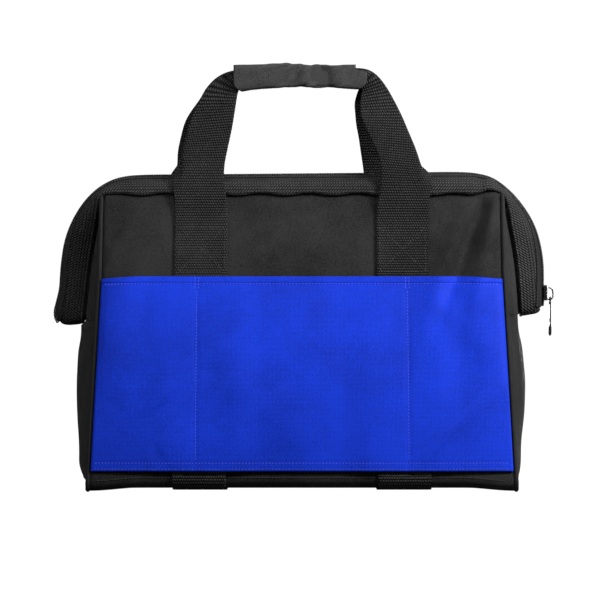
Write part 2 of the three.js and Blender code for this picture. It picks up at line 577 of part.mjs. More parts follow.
// Corded piping round one end of the body, from the front corner under the base to the back.
function piping(side) {
  const edge = HALF_BASE;
  const girths = [
    ...PANEL_HEIGHTS.map((z) => girthAtHeight(edge, z)),
    ...ROLL_SHARES.map((share) => BASE_HALF + share * ROLL_LENGTH), 0,
  ];
  const path = [...girths.map((g) => -g), ...[...girths].reverse().slice(1)].map((girth) => {
    const point = skinPoint(edge, girth, PIPING_INSET);
    point.x = side * (halfWidth(point.z) + PIPING_WIDTH / 2 + GAP);
    return point;
  });
  const angles = steps(7).slice(0, -1).map((share) => share * 2 * Math.PI);
  return tube(path.map((point, i) => {
    const before = path[Math.max(0, i - 1)];
    const after = path[Math.min(path.length - 1, i + 1)];
    const along = after.clone().sub(before).normalize();
    const outwards = new THREE.Vector3(1, 0, 0).addScaledVector(along, -along.x).normalize();
    const aside = outwards.clone().cross(along);
    return angles.map((angle) => point.clone()
      .addScaledVector(outwards, Math.cos(angle) * PIPING_WIDTH / 2)
      .addScaledVector(aside, -Math.sin(angle) * PIPING_WIDTH / 2));
  }));
}

// One cross row of a handle strap, from its inner edge outwards, round the fold and back.
// toward: from the inner edge to the fold; behind: the side the folded ply lies on.
const TURN_LENGTH = Math.PI * FOLD_RADIUS;
const LEAST_PLY = 0.5;           // the folded ply is never narrower than this
const LEAST_TURN = 0.02;         // radians, so that a flat strap has a very large radius
function strapColumns(frontWidth, width) {
  const turn = [1 / 3, 2 / 3, 1].map((share) => frontWidth + share * TURN_LENGTH);
  const last = Math.max(width, frontWidth + TURN_LENGTH + LEAST_PLY);
  return [0, frontWidth / 2, frontWidth, ...turn, last];
}
function strapRow(inner, toward, behind, frontWidth, fold, width) {
  const angle = Math.max(fold * Math.PI, LEAST_TURN);
  const radius = TURN_LENGTH / angle;
  return strapColumns(frontWidth, width).map((place) => {
    const turned = clamp01((place - frontWidth) / TURN_LENGTH) * angle;
    const past = Math.max(0, place - frontWidth - TURN_LENGTH);
    const ahead = Math.min(place, frontWidth) + radius * Math.sin(turned) + past * Math.cos(turned);
    const back = radius * (1 - Math.cos(turned)) + past * Math.sin(turned);
    return inner.clone().addScaledVector(toward, ahead).addScaledVector(behind, back);
  });
}

// Depth of a handle strap's middle surface in front of the plane Y = 0, above the rim seam:
// it stands off the binding at its foot and reaches the other handle where the grip begins.
const STRAP_EASE = 1.2;
const STRAP_FOOT_DEPTH = HALF_RIM + RIM_GAP + GAP + RIM_WEBBING_THICK + STRAP_THICK / 2 + STRAP_EASE;
const STRAP_TOP_DEPTH = GAP / 2 + STRAP_THICK / 2 + 2 * FOLD_RADIUS;
const MEETING_UP = 0.83;         // share of the handle's rise where both handles lie together
const SHIFT_FADE = 0.3;          // share of the rise over which a sideways shift fades out
function strapDepth(up) {
  return mix(STRAP_FOOT_DEPTH, STRAP_TOP_DEPTH, clamp01(up / MEETING_UP));
}

// One handle leg above its X-box, from the turn table. side: -1 for the left leg.
// shift: sideways offset of the leg, which fades out where the handles meet in the grip.
function legRows(table, side, shift) {
  const half = STRAP_SPACING / 2;
  const point = (out, up) => new THREE.Vector3(
    side * out * half + shift * smooth((MEETING_UP - up) / SHIFT_FADE), -strapDepth(up),
    SEAM_HEIGHT + up * HANDLE_RISE);
  return table.map((row) => {
    const inner = point(row.innerOut, row.innerUp);
    const outer = point(row.outerOut, row.outerUp);
    outer.y = mix(outer.y, inner.y, row.fold);
    const span = outer.distanceTo(inner);
    const frontWidth = span - mix(TURN_LENGTH, FOLD_RADIUS, row.fold);
    const width = Math.min(STRAP_WIDTH, 2 * frontWidth + TURN_LENGTH);
    const toward = outer.clone().sub(inner).normalize();
    return strapRow(inner, toward, new THREE.Vector3(0, 1, 0), frontWidth, row.fold, width);
  });
}

// A handle: one webbing strap from under the base, up the panel, round the grip and down again.
function handleStrap(shift, rightTurn) {
  const low = GAP + STRAP_THICK / 2;
  const girths = [GAP / 2, ...[...BASE_SHARES].reverse().map((share) => share * BASE_HALF)];
  girths.push(...[...ROLL_SHARES].reverse().map((share) => BASE_HALF + share * ROLL_LENGTH));
  const heights = [...PANEL_HEIGHTS].reverse().slice(0, -1);
  const sewnRows = (side) => {
    const columns = strapColumns(STRAP_WIDTH - TURN_LENGTH, STRAP_WIDTH);
    const places = [...girths.map((g) => ({ girth: g })), ...heights.map((z) => ({ z }))];
    return places.map((place) => columns.map((across) => {
      const x = shift + side * (STRAP_SPACING / 2 - STRAP_WIDTH / 2 + across);
      const girth = place.girth ?? girthAtHeight(x, place.z);
      const here = skinPoint(x, -girth);
      const ahead = skinPoint(x, -girth - 1);
      const climb = ahead.sub(here);
      const out = new THREE.Vector3(0, -climb.z, climb.y).normalize();
      return here.addScaledVector(out, low);
    }));
  };
  const left = [...sewnRows(-1), ...legRows(LEFT_TURN, -1, shift)];
  const right = [...sewnRows(1), ...legRows(rightTurn, 1, shift)];
  const rows = [...left, ...right.reverse()];
  return clothLayer(turnedOver(gridSurface(rows)), -STRAP_THICK / 2, STRAP_THICK / 2);
}

// Sleeve round both handles: a cloth wound once round them, its free flap over the front.
// turn: share of a full turn, from the middle of the front over the top and down the back.
function gripWrap() {
  const layer = GRIP_CLOTH + GAP;
  const start = -0.02;
  const end = start + GRIP_TURNS;
  const turns = steps(20, start, end);
  const rows = steps(10, -1, 1).map((share) => {
    const flap = GRIP_FLAP * Math.sqrt(Math.max(0, share));
    const droop = GRIP_DROP * share ** 2 * (share < 0 ? 1 : 0.3);
    const middle = SEAM_HEIGHT + HANDLE_RISE * GRIP_UP - droop;
    return turns.map((turn) => {
      const wound = Math.min(turn, end - flap - 0.004 * (end - turn));
      const outer = layer * smooth((turn - 0.72) / 0.2);
      const angle = wound * 2 * Math.PI;
      const high = (GRIP_HEIGHT + GRIP_FLARE * share ** 2) / 2 + GRIP_CLOTH / 2 + outer;
      const deep = GRIP_DEPTH / 2 + GRIP_CLOTH / 2 + outer;
      const round = (value) => Math.sign(value) * Math.abs(value) ** GRIP_ROUNDNESS;
      const left = GRIP_LEFT + GRIP_SLANT * smooth(-Math.sin(angle));
      const skewed = GRIP_RIGHT + GRIP_SKEW * smooth((turn - 0.5) / 0.35);
      const right = skewed - GRIP_SLANT * smooth(-Math.sin(angle));
      return new THREE.Vector3(mix(left, right, (share + 1) / 2),
        -deep * round(Math.cos(angle)), middle + high * round(Math.sin(angle)));
    });
  });
  return clothLayer(gridSurface(rows), -GRIP_CLOTH / 2, GRIP_CLOTH / 2);
}

// The pocket panel: it lies over both straps and is full between its seams.
const POCKET_SEAM = STRAP_SPACING / 2 + 4;
function pocketLift(x, z) {
  const fromStrap = Math.abs(Math.abs(x) - STRAP_SPACING / 2) - STRAP_WIDTH / 2;
  const overStrap = smooth((STRAP_BESIDE - fromStrap) / STRAP_SLOPE);
  const layers = 2 * GAP + STRAP_THICK;
  const across = Math.abs(x) < POCKET_SEAM
    ? Math.cos((x / POCKET_SEAM) * Math.PI / 2)
    : Math.sin(clamp01((Math.abs(x) - POCKET_SEAM) / (halfWidth(z) - POCKET_SEAM)) * Math.PI);
  const up = (z - POCKET_BOTTOM) / (POCKET_TOP - POCKET_BOTTOM);
  const fullness = POCKET_CROWN * across * Math.sin(Math.PI * mix(0.1, 0.85, clamp01(up)));
  return mix(GAP, layers, overStrap) + POCKET_EASE + fullness;
}

function pocketPanel() {
  const strapInner = (STRAP_SPACING / 2 - STRAP_WIDTH / 2 - STRAP_BESIDE) / HALF_BASE;
  const strapOuter = (STRAP_SPACING / 2 + STRAP_WIDTH / 2 + STRAP_BESIDE) / HALF_BASE;
  const ramp = STRAP_SLOPE / HALF_BASE;
  const right = [strapInner / 2, strapInner, strapInner + ramp, POCKET_SEAM / HALF_BASE,
    strapOuter - ramp, strapOuter, (strapOuter + 1) / 2, 1];
  const shares = [...right.map((s) => -s).reverse(), 0, ...right];
  const rows = steps(9).map((share) => shares.map((part) => {
    const z = mix(POCKET_TOP, POCKET_BOTTOM, share);
    const x = part * (halfWidth(z) - POCKET_SIDE);
    const point = skinPoint(x, -girthAtHeight(x, z));
    point.y -= pocketLift(x, z);
    return point;
  }));
  return clothLayer(turnedOver(gridSurface(rows)), 0, POCKET_CLOTH);
}

// Manifold solid of a closed geometry, and back, for joins and cuts.
function toManifold(geometry) {
  const bare = geometry.index ? geometry.toNonIndexed() : geometry.clone();
  bare.deleteAttribute('normal');
  bare.deleteAttribute('uv');
  const merged = mergeVertices(bare, 1e-5);
  return new wasm.Manifold(new wasm.Mesh({
    numProp: 3,
    vertProperties: new Float32Array(merged.getAttribute('position').array),
    triVerts: new Uint32Array(merged.getIndex().array),
  }));
}

function fromManifold(solid) {
  const mesh = solid.getMesh();
  const geometry = new THREE.BufferGeometry();
  geometry.setAttribute('position', new THREE.BufferAttribute(mesh.vertProperties, 3));
  geometry.setIndex(new THREE.BufferAttribute(mesh.triVerts, 1));
  return geometry;
}

// An outline in (X, Z), extruded along Y and centred on Y = 0.
function alongY(outline, width) {
  const solid = new THREE.ExtrudeGeometry(outline, { depth: width, bevelEnabled: false });
  solid.translate(0, 0, -width / 2);
  solid.rotateX(Math.PI / 2);
  return solid;
}

// Faces of the slider's seat, at the height where it stands on the right ear's chain.
const sliderFace = EAR_REACH + COIL_CENTRE + COIL_HEIGHT / 2 + GAP;
const plateFace = sliderFace + SLIDER_WALL;
const PIVOT_X = plateFace + CROWN_REACH / 2 - CROWN_BAR / 4;
const EYE_RADIUS = PULL_THICK / 2;
const CROWN_FOOT = SLIDER_HEIGHT - CROWN_LENGTH / 2 - 0.5;
const PIVOT_Z = CROWN_FOOT + CROWN_BAR + GAP + EYE_RADIUS * Math.SQRT2;

// Slider: a channel that saddles the chain, with a hook-shaped crown for the pull.
function zipperSlider() {
  const plate = new THREE.BoxGeometry(SLIDER_WALL, SLIDER_WIDTH, SLIDER_LENGTH);
  plate.translate(sliderFace + SLIDER_WALL / 2, 0, SLIDER_HEIGHT);
  const flangeDepth = COIL_CENTRE + COIL_HEIGHT / 2
    - (2 * RIM_GAP + GAP + RIM_WEBBING_THICK + TAPE_THICK);
  const flangeWidth = (SLIDER_WIDTH - COIL_WIDTH) / 2 - GAP;
  const flanges = [-1, 1].map((side) => {
    const flange = new THREE.BoxGeometry(flangeDepth + GAP, flangeWidth, SLIDER_LENGTH);
    return flange.translate(sliderFace - (flangeDepth + GAP) / 2 + 0.1,
      side * (SLIDER_WIDTH - flangeWidth) / 2, SLIDER_HEIGHT);
  });
  const far = plateFace + CROWN_REACH;
  const top = CROWN_FOOT + CROWN_LENGTH;
  const outer = new THREE.Shape();
  outer.moveTo(plateFace - 0.2, CROWN_FOOT);
  outer.lineTo(far - 1.8, CROWN_FOOT);
  outer.quadraticCurveTo(far, CROWN_FOOT, far, CROWN_FOOT + 2.2);
  outer.lineTo(far, top - 3);
  outer.quadraticCurveTo(far, top, far - 2.6, top);
  outer.lineTo(plateFace + GAP, top - 0.6);
  outer.lineTo(plateFace + GAP, top - 0.6 - CROWN_BAR);
  outer.lineTo(far - 2.8, top - CROWN_BAR);
  outer.quadraticCurveTo(far - CROWN_BAR, top - CROWN_BAR, far - CROWN_BAR, top - 3);
  outer.lineTo(far - CROWN_BAR, CROWN_FOOT + 2.4);
  outer.quadraticCurveTo(far - CROWN_BAR, CROWN_FOOT + CROWN_BAR, far - 2.4, CROWN_FOOT + CROWN_BAR);
  outer.lineTo(plateFace - 0.2, CROWN_FOOT + CROWN_BAR);
  outer.closePath();
  const crown = alongY(outer, CROWN_WIDTH);
  const pieces = [plate, ...flanges, crown].map(toManifold);
  return fromManifold(pieces.reduce((sum, piece) => sum.add(piece)));
}

// Pull: a flat tab with a slot at its head, hung in the crown, thicker at its free end.
function zipperPull() {
  const half = PULL_WIDTH / 2;
  const outline = new THREE.Shape();
  outline.moveTo(-half * 0.62, EYE_RADIUS);
  outline.lineTo(-half, -PULL_SHOULDER);
  outline.lineTo(-half * 0.8, -PULL_LENGTH + PULL_END);
  outline.lineTo(-half * 0.95, -PULL_LENGTH + 2);
  outline.quadraticCurveTo(0, -PULL_LENGTH - 1, half * 0.95, -PULL_LENGTH + 2);
  outline.lineTo(half * 0.8, -PULL_LENGTH + PULL_END);
  outline.lineTo(half, -PULL_SHOULDER);
  outline.lineTo(half * 0.62, EYE_RADIUS);
  outline.closePath();
  const slot = new THREE.Path();
  const slotHalf = CROWN_WIDTH / 2 + 0.5;
  slot.moveTo(-slotHalf, -EYE_RADIUS);
  slot.lineTo(slotHalf, -EYE_RADIUS);
  slot.lineTo(slotHalf, -EYE_RADIUS - PULL_EYE);
  slot.lineTo(-slotHalf, -EYE_RADIUS - PULL_EYE);
  slot.closePath();
  outline.holes.push(slot);
  const tab = new THREE.ExtrudeGeometry(outline,
    { depth: PULL_THICK, bevelEnabled: false, curveSegments: 6 });
  tab.translate(0, 0, -PULL_THICK / 2);
  const grip = new THREE.BoxGeometry(PULL_WIDTH * 0.7, PULL_END, PULL_END_THICK);
  grip.translate(0, -PULL_LENGTH + PULL_END * 2 / 3, 0);
  const solid = fromManifold(toManifold(tab).add(toManifold(grip)));
  solid.rotateX(Math.PI / 2);
  solid.rotateZ(Math.PI / 2);
  return solid.translate(PIVOT_X, 0, PIVOT_Z);
}

const finish = (color, roughness, metalness = 0) =>
  new THREE.MeshStandardMaterial({ color, roughness, metalness });
const blackCanvas = finish(0x1b1b1e, 0.9);
const blackWebbing = finish(0x232326, 0.85);
const blueCanvas = finish(0x1a34d6, 0.85);
const blackTape = finish(0x19191b, 0.9);
const blackCoil = finish(0x151517, 0.5);
const blackMetal = finish(0x141416, 0.4, 0.6);

const bag = new THREE.Group();
function addPiece(name, geometry, material) {
  const mesh = new THREE.Mesh(geometry, material);
  mesh.name = name;
  bag.add(mesh);
  return mesh;
}

addPiece('body_wrap', bodyWrap(), blackCanvas);
for (const [name, side] of [['left', -1], ['right', 1]]) {
  addPiece(`end_panel_${name}`, endPanel(side), blackCanvas);
  addPiece(`piping_${name}`, piping(side), blackCanvas);
}
addPiece('rim_webbing', rimWebbing(), blackWebbing);
addPiece('zipper_tape_front', zipperTape(), blackTape);
const backTape = turnedOver(zipperTape()).applyMatrix4(new THREE.Matrix4().makeScale(1, -1, 1));
addPiece('zipper_tape_back', backTape, blackTape);
addPiece('zipper_coil', zipperCoil(), blackCoil);
addPiece('zipper_slider', zipperSlider(), blackMetal);
addPiece('zipper_pull', zipperPull(), blackMetal);
addPiece('handle_strap_front', handleStrap(0, RIGHT_TURN), blackWebbing);
const backStrap = turnedOver(handleStrap(BACK_HANDLE_SHIFT, BACK_RIGHT_TURN))
  .applyMatrix4(new THREE.Matrix4().makeScale(1, -1, 1));
addPiece('handle_strap_back', backStrap, blackWebbing);
addPiece('grip_wrap', gripWrap(), blackCanvas);
addPiece('pocket_panel', pocketPanel(), blueCanvas);

export default bag;
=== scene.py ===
# %% [markdown]
# # A zipped tool bag in canvas and webbing
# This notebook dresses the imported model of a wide-mouth tool bag. The real bag is cut from
# black polyester canvas with a blue pocket panel, bound round its mouth with coarse webbing,
# and carried by two webbing handles that a canvas grip holds together. Every surface below is
# a formula on a grid, worked out in millimetres and turned into metres when the mesh is made.

import math

import bpy
import numpy as np
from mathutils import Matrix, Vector


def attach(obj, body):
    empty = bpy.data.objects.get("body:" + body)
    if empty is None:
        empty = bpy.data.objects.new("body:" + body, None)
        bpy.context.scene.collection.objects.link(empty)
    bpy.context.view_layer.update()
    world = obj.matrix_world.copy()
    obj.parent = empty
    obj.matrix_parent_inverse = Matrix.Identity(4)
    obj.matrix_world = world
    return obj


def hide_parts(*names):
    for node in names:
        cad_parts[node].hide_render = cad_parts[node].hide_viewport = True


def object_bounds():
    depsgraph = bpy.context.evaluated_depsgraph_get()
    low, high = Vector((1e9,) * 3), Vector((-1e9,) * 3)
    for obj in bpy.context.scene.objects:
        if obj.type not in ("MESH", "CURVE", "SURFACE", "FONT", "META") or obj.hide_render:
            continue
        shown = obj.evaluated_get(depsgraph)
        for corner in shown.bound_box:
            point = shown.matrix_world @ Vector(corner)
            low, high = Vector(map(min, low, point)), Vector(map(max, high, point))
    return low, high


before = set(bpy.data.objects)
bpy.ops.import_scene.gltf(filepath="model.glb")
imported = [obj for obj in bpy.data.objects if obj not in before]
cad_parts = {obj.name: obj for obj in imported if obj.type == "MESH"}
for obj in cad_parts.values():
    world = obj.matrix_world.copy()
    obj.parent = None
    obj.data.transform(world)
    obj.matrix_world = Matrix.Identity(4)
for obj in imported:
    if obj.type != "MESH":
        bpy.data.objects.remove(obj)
cad_low, cad_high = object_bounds()
size_mm = [round((high - low) * 1000, 1) for low, high in zip(cad_low, cad_high)]
print("CAD box in mm:", size_mm)

# %% [markdown]
# ## Camera, floor and light
# The photograph was taken level, from far away, with the lens at about half the bag's height.
# A long lens keeps the front and the handles nearly the same size. The floor runs back and
# curves up into a pale wall, so there is no horizon line behind the bag.

# %% Camera
CAMERA_DISTANCE = 2.9
CAMERA_HEIGHT = 0.179
CAMERA_ASIDE = -0.0019
FOCAL_PIXELS = 3021
PICTURE_PIXELS = 600

camera_data = bpy.data.cameras.new("camera")
camera_data.sensor_width = 36
camera_data.lens = camera_data.sensor_width * FOCAL_PIXELS / PICTURE_PIXELS
camera_data.clip_end = 50
camera = bpy.data.objects.new("camera", camera_data)
camera.location = (CAMERA_ASIDE, -CAMERA_DISTANCE, CAMERA_HEIGHT)
camera.rotation_euler = (math.pi / 2, 0, 0)
bpy.context.scene.collection.objects.link(camera)
bpy.context.scene.camera = camera
print("lens in mm:", round(camera_data.lens, 1))

# %% [markdown]
# ## A grid of points as a mesh
# Cloth is a sheet, so nearly every piece here is one rectangular grid of points. The helper
# takes the whole grid at once, joins neighbouring points into four-sided faces and stores the
# cloth's own flat measure in millimetres as the UV map, so that a weave keeps its size and
# follows every fold.

# %% Helper for grids
MM = 0.001


def grid_faces(rows, columns, close_rows=False, close_columns=False):
    """Corner numbers of every cell of a grid, row by row."""
    numbers = np.arange(rows * columns).reshape(rows, columns)
    if close_rows:
        numbers = np.vstack([numbers, numbers[:1]])
    if close_columns:
        numbers = np.hstack([numbers, numbers[:, :1]])
    corners = [numbers[:-1, :-1], numbers[:-1, 1:], numbers[1:, 1:], numbers[1:, :-1]]
    return np.stack(corners, axis=-1).reshape(-1, 4)


def mesh_piece(name, points_mm, faces, flat_mm=None, material=None):
    """A smooth mesh object from points, faces and one flat (u, v) place for each point."""
    mesh = bpy.data.meshes.new(name)
    points = np.asarray(points_mm, float).reshape(-1, 3) * MM
    faces = np.asarray(faces)
    mesh.vertices.add(len(points))
    mesh.vertices.foreach_set("co", points.ravel())
    mesh.loops.add(faces.size)
    mesh.loops.foreach_set("vertex_index", faces.ravel())
    mesh.polygons.add(len(faces))
    mesh.polygons.foreach_set("loop_start", np.arange(len(faces)) * faces.shape[1])
    mesh.update(calc_edges=True)
    mesh.validate()
    if flat_mm is not None:
        flat = np.asarray(flat_mm, float).reshape(-1, 2)
        layer = mesh.uv_layers.new(name="flat")
        layer.data.foreach_set("uv", flat[faces.ravel()].ravel())
    mesh.polygons.foreach_set("use_smooth", np.ones(len(faces), bool))
    if material is not None:
        mesh.materials.append(material)
    piece = bpy.data.objects.new(name, mesh)
    bpy.context.scene.collection.objects.link(piece)
    return piece


def joined_piece(name, grids, material, flats=None, close_columns=False):
    """Several grids as one mesh object."""
    faces, base = [], 0
    for grid in grids:
        rows, columns = grid.shape[:2]
        faces.append(grid_faces(rows, columns, close_columns=close_columns) + base)
        base += rows * columns
    points = np.concatenate([grid.reshape(-1, 3) for grid in grids])
    flat = None if flats is None else np.concatenate([part.reshape(-1, 2) for part in flats])
    return mesh_piece(name, points, np.concatenate(faces), flat, material)


def add_wall(piece, wall, grow):
    """Gives a sheet its wall in millimetres; grow is -1 inwards, 0 both ways, 1 outwards."""
    layer = piece.modifiers.new("wall", "SOLIDIFY")
    layer.thickness = wall * MM
    layer.offset = grow
    return piece


def cloth_piece(name, grid, flat, material, wall, grow, close_rows=False):
    """A grid as cloth with a wall."""
    rows, columns = grid.shape[:2]
    faces = grid_faces(rows, columns, close_rows)
    return add_wall(mesh_piece(name, grid, faces, flat, material), wall, grow)


# %% [markdown]
# A few measures of grids and lines come back in every piece: directions of length one, the
# way out of a surface, and how far one has walked along it.

# %% Helpers for directions and lengths
TO_BACK = np.array([1, -1, 1])


def unit(vectors):
    """The vectors divided by their lengths."""
    return vectors / np.maximum(np.linalg.norm(vectors, axis=-1, keepdims=True), 1e-9)


def surface_normals(grid):
    """Unit normal of a grid at every point, from the cross product of its two slopes."""
    down = np.gradient(grid, axis=0)
    across = np.gradient(grid, axis=1)
    return unit(np.cross(across, down))


def run_lengths(grid, axis):
    """Distance walked along one axis of a grid, starting at nought."""
    steps = np.linalg.norm(np.diff(grid, axis=axis), axis=-1)
    start = np.zeros_like(np.take(steps, [0], axis=axis))
    return np.cumsum(np.concatenate([start, steps], axis=axis), axis=axis)


def line_lengths(line):
    """Distance walked along a line of points, starting at nought."""
    return run_lengths(line[:, None], 0)[:, 0]


def along_line(distance, walked, values):
    """Points, or directions, of a line at distances between its walked ones."""
    return np.stack([np.interp(distance, walked, values[:, k]) for k in range(3)], axis=-1)


def squared(value, power):
    """A cosine or sine made squarer by a power under one, with its sign kept."""
    return np.sign(value) * np.abs(value) ** power


# %% [markdown]
# Each finished piece is hung under an empty named for the body it rides on, and the imported
# solids that it stands for are hidden.


def finish_piece(piece, body="bag", replaces=()):
    """Hangs a piece under its body's empty and hides the solids that it stands for."""
    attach(piece, body)
    if replaces:
        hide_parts(*replaces)
    print(piece.name, "has", len(piece.data.polygons), "faces")
    return piece


# %% [markdown]
# The floor and the wall behind it are one strip: flat under the bag, a quarter circle at the
# back and straight up from there.

# %% Floor and wall
FLOOR_FRONT = -3600
FLOOR_BACK = 2400
CURVE_RADIUS = 1200
WALL_HEIGHT = 4200
STAGE_HALF_WIDTH = 5000

turn = np.linspace(0, math.pi / 2, 24)
curve_y = FLOOR_BACK + CURVE_RADIUS * np.sin(turn)
curve_z = CURVE_RADIUS * (1 - np.cos(turn))
strip_y = np.concatenate([[FLOOR_FRONT], curve_y, curve_y[-1:]])
strip_z = np.concatenate([[0], curve_z, [WALL_HEIGHT]])
sides = np.array([-STAGE_HALF_WIDTH, STAGE_HALF_WIDTH])
stage_x, stage_y = np.meshgrid(sides, strip_y)
stage_z = np.repeat(strip_z[:, None], 2, axis=1)
floor_material = bpy.data.materials.new("pale_floor")
floor_material.use_nodes = True
floor_nodes = floor_material.node_tree.nodes
floor_links = floor_material.node_tree.links
floor_shader = floor_nodes["Principled BSDF"]
floor_shader.inputs["Base Color"].default_value = (0.14, 0.14, 0.141, 1)
floor_shader.inputs["Roughness"].default_value = 0.9
floor_shader.inputs["Specular IOR Level"].default_value = 0.1
backlit = floor_nodes.new("ShaderNodeEmission")
backlit.inputs["Color"].default_value = (1, 1, 1, 1)
backlit.inputs["Strength"].default_value = 1.12
seen_directly = floor_nodes.new("ShaderNodeLightPath").outputs["Is Camera Ray"]
lit_share = floor_nodes.new("ShaderNodeMath")
lit_share.operation = "MULTIPLY"
lit_share.inputs[1].default_value = 0.92
floor_links.new(seen_directly, lit_share.inputs[0])
blend = floor_nodes.new("ShaderNodeMixShader")
floor_links.new(lit_share.outputs[0], blend.inputs["Fac"])
floor_links.new(floor_shader.outputs["BSDF"], blend.inputs[1])
floor_links.new(backlit.outputs["Emission"], blend.inputs[2])
floor_links.new(blend.outputs["Shader"], floor_nodes["Material Output"].inputs["Surface"])
floor = mesh_piece(
    "floor", np.stack([stage_x, stage_y, stage_z], axis=-1),
    grid_faces(len(strip_y), 2), material=floor_material)
print("floor strip has", len(strip_y), "rows")

# %% [markdown]
# The bag is nearly black, so its folds only show where a light grazes them. Two soft boxes
# stand high on the right, and weaker ones above the front and on the left fill the shade. One
# more stands behind, low, for the views of the back.

# %% Light
def soft_box(name, place, aim, size, power):
    """A rectangular lamp at a place, turned to an aim, both in metres."""
    lamp = bpy.data.lights.new(name, "AREA")
    lamp.shape = "RECTANGLE"
    lamp.size, lamp.size_y = size
    lamp.energy = power
    holder = bpy.data.objects.new(name, lamp)
    holder.location = place
    holder.rotation_euler = (Vector(aim) - Vector(place)).to_track_quat("-Z", "Y").to_euler()
    bpy.context.scene.collection.objects.link(holder)


soft_box("key_box", (1.02, -0.40, 0.80), (0.14, -0.08, 0.26), (0.22, 0.35), 13.5)
soft_box("right_box", (0.62, -0.40, 0.74), (0.22, -0.08, 0.28), (0.2, 0.2), 3.6)
soft_box("overhead_box", (-0.12, -0.38, 0.82), (-0.06, -0.05, 0.30), (0.5, 0.2), 2.3)
soft_box("left_box", (-0.95, -0.60, 0.70), (-0.15, -0.05, 0.25), (0.2, 0.3), 2.5)
soft_box("rear_box", (0.15, 1.35, 0.40), (0.0, 0.05, 0.22), (0.9, 0.5), 24)
world = bpy.data.worlds.new("room")
world.use_nodes = True
world.node_tree.nodes["Background"].inputs["Color"].default_value = (1, 1, 1, 1)
world.node_tree.nodes["Background"].inputs["Strength"].default_value = 0.012
bpy.context.scene.world = world
view = bpy.context.scene.view_settings
view.view_transform = "Standard"
view.look = "None"
print("soft boxes:", len(bpy.data.lights))

# %% [markdown]
# ## The bag's measures
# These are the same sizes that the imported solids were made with, in millimetres. X runs along
# the bag, the front faces -Y, and the floor is at Z = 0.

# %% Measures of the body
BASE_LENGTH = 394
TOP_LENGTH = 378
WAIST_HEIGHT = 205
BAG_DEPTH = 216
RIM_DEPTH = 44
SEAM_HEIGHT = 277
BASE_ROUND = 13
BASE_LIFT = 3.4
BASE_CONTACT = 84
PANEL_CROWN = 8
GUSSET_CROWN = 19
CLOTH = 1.6
STRAP_THICK = 1.5
GAP = 0.3
HALF_BASE = BASE_LENGTH / 2
HALF_TOP = TOP_LENGTH / 2
HALF_DEPTH = BAG_DEPTH / 2
HALF_RIM = RIM_DEPTH / 2
FLOOR_CLOTH = STRAP_THICK + GAP
ROLL_LENGTH = BASE_ROUND * 1.6
BASE_HALF = HALF_DEPTH - BASE_ROUND
PANEL_START = BASE_HALF + ROLL_LENGTH

# %% [markdown]
# ## The skin of the body
# One length of canvas goes from the rim down the front, under the base and up the back. A
# point of it is found from x along the bag and from its girth, the distance walked round the
# section from the middle of the base. Negative girth is the front. Straps, pocket and stitches
# all use this formula, so they lie on the same cloth.

# %% Formula of the skin
def smooth(value):
    """0 below 0, 1 above 1, and an S-curve between them."""
    share = np.clip(value, 0, 1)
    return share * share * (3 - 2 * share)


def mix(low, high, share):
    """The value a share of the way from low to high."""
    return low + (high - low) * share


def bump(place, middle, reach):
    """A bell-shaped hump: 1 at the middle, falling off over the reach."""
    return np.exp(-(((place - middle) / reach) ** 2))


def base_height(x, y):
    """Underside of the base above the floor: flat in the middle, lifting to its long edges."""
    lift = smooth((np.abs(y) - BASE_CONTACT / 2) / (HALF_DEPTH - BASE_CONTACT / 2))
    inland = smooth((HALF_BASE - np.abs(x)) / (HALF_BASE * 0.25))
    return FLOOR_CLOTH + BASE_LIFT * lift * inland


def half_width(z):
    """Half the panel's width, narrowing evenly from the floor to the waist."""
    return mix(HALF_BASE, HALF_TOP, np.clip(z / WAIST_HEIGHT, 0, 1))


# A fold is a long hump or valley, in six columns. x: share of half the width, up: share of the
# height, lean: sideways run over its length, tall and wide: its reach in the same shares,
# deep: millimetres.
FRONT_FOLDS = [
    (0.850, 0.86, 0.11, 0.19, 0.038, -7.5),
    (0.925, 0.83, 0.06, 0.17, 0.040, 3.6),
    (0.745, 0.83, 0.10, 0.18, 0.055, 4.2),
    (0.960, 0.98, -0.20, 0.05, 0.050, 2.2),
    (-0.915, 0.85, 0.12, 0.13, 0.035, 3.4),
    (-0.960, 0.93, 0.10, 0.09, 0.030, -1.8),
    (-0.790, 0.82, 0.05, 0.16, 0.080, 3.0),
    (-0.640, 0.90, -0.05, 0.12, 0.050, -1.2),
    (-0.100, 0.86, 0.10, 0.13, 0.150, 0.9),
    (0.170, 0.88, -0.08, 0.12, 0.060, -0.8),
    (-0.500, 0.04, 0.00, 0.05, 0.100, -0.8),
    (0.200, 0.05, 0.00, 0.05, 0.140, 0.8),
]
BACK_FOLDS = [
    (-0.840, 0.84, 0.10, 0.18, 0.045, -3.6),
    (-0.740, 0.80, 0.10, 0.20, 0.060, 2.4),
    (0.860, 0.86, -0.09, 0.15, 0.045, -3.0),
    (0.760, 0.80, -0.06, 0.18, 0.080, 2.0),
    (0.000, 0.45, 0.30, 0.30, 0.090, 1.6),
    (0.100, 0.30, -0.25, 0.22, 0.070, -1.6),
    (-0.750, 0.35, 0.22, 0.22, 0.070, -1.6),
    (0.700, 0.30, 0.18, 0.20, 0.060, 1.8),
    (-0.200, 0.12, 0.00, 0.08, 0.180, 1.2),
]


def folds_at(folds, x, z):
    """Sum of a list of folds as one height: each is a bell across times a bell along."""
    height = np.zeros(np.broadcast(x, z).shape)
    for middle, up, lean, tall, wide, deep in folds:
        along = (z / SEAM_HEIGHT - up) / tall
        across = (x / HALF_TOP - middle - lean * along) / wide
        height = height + deep * np.exp(-(along**2) - across**2)
    return height


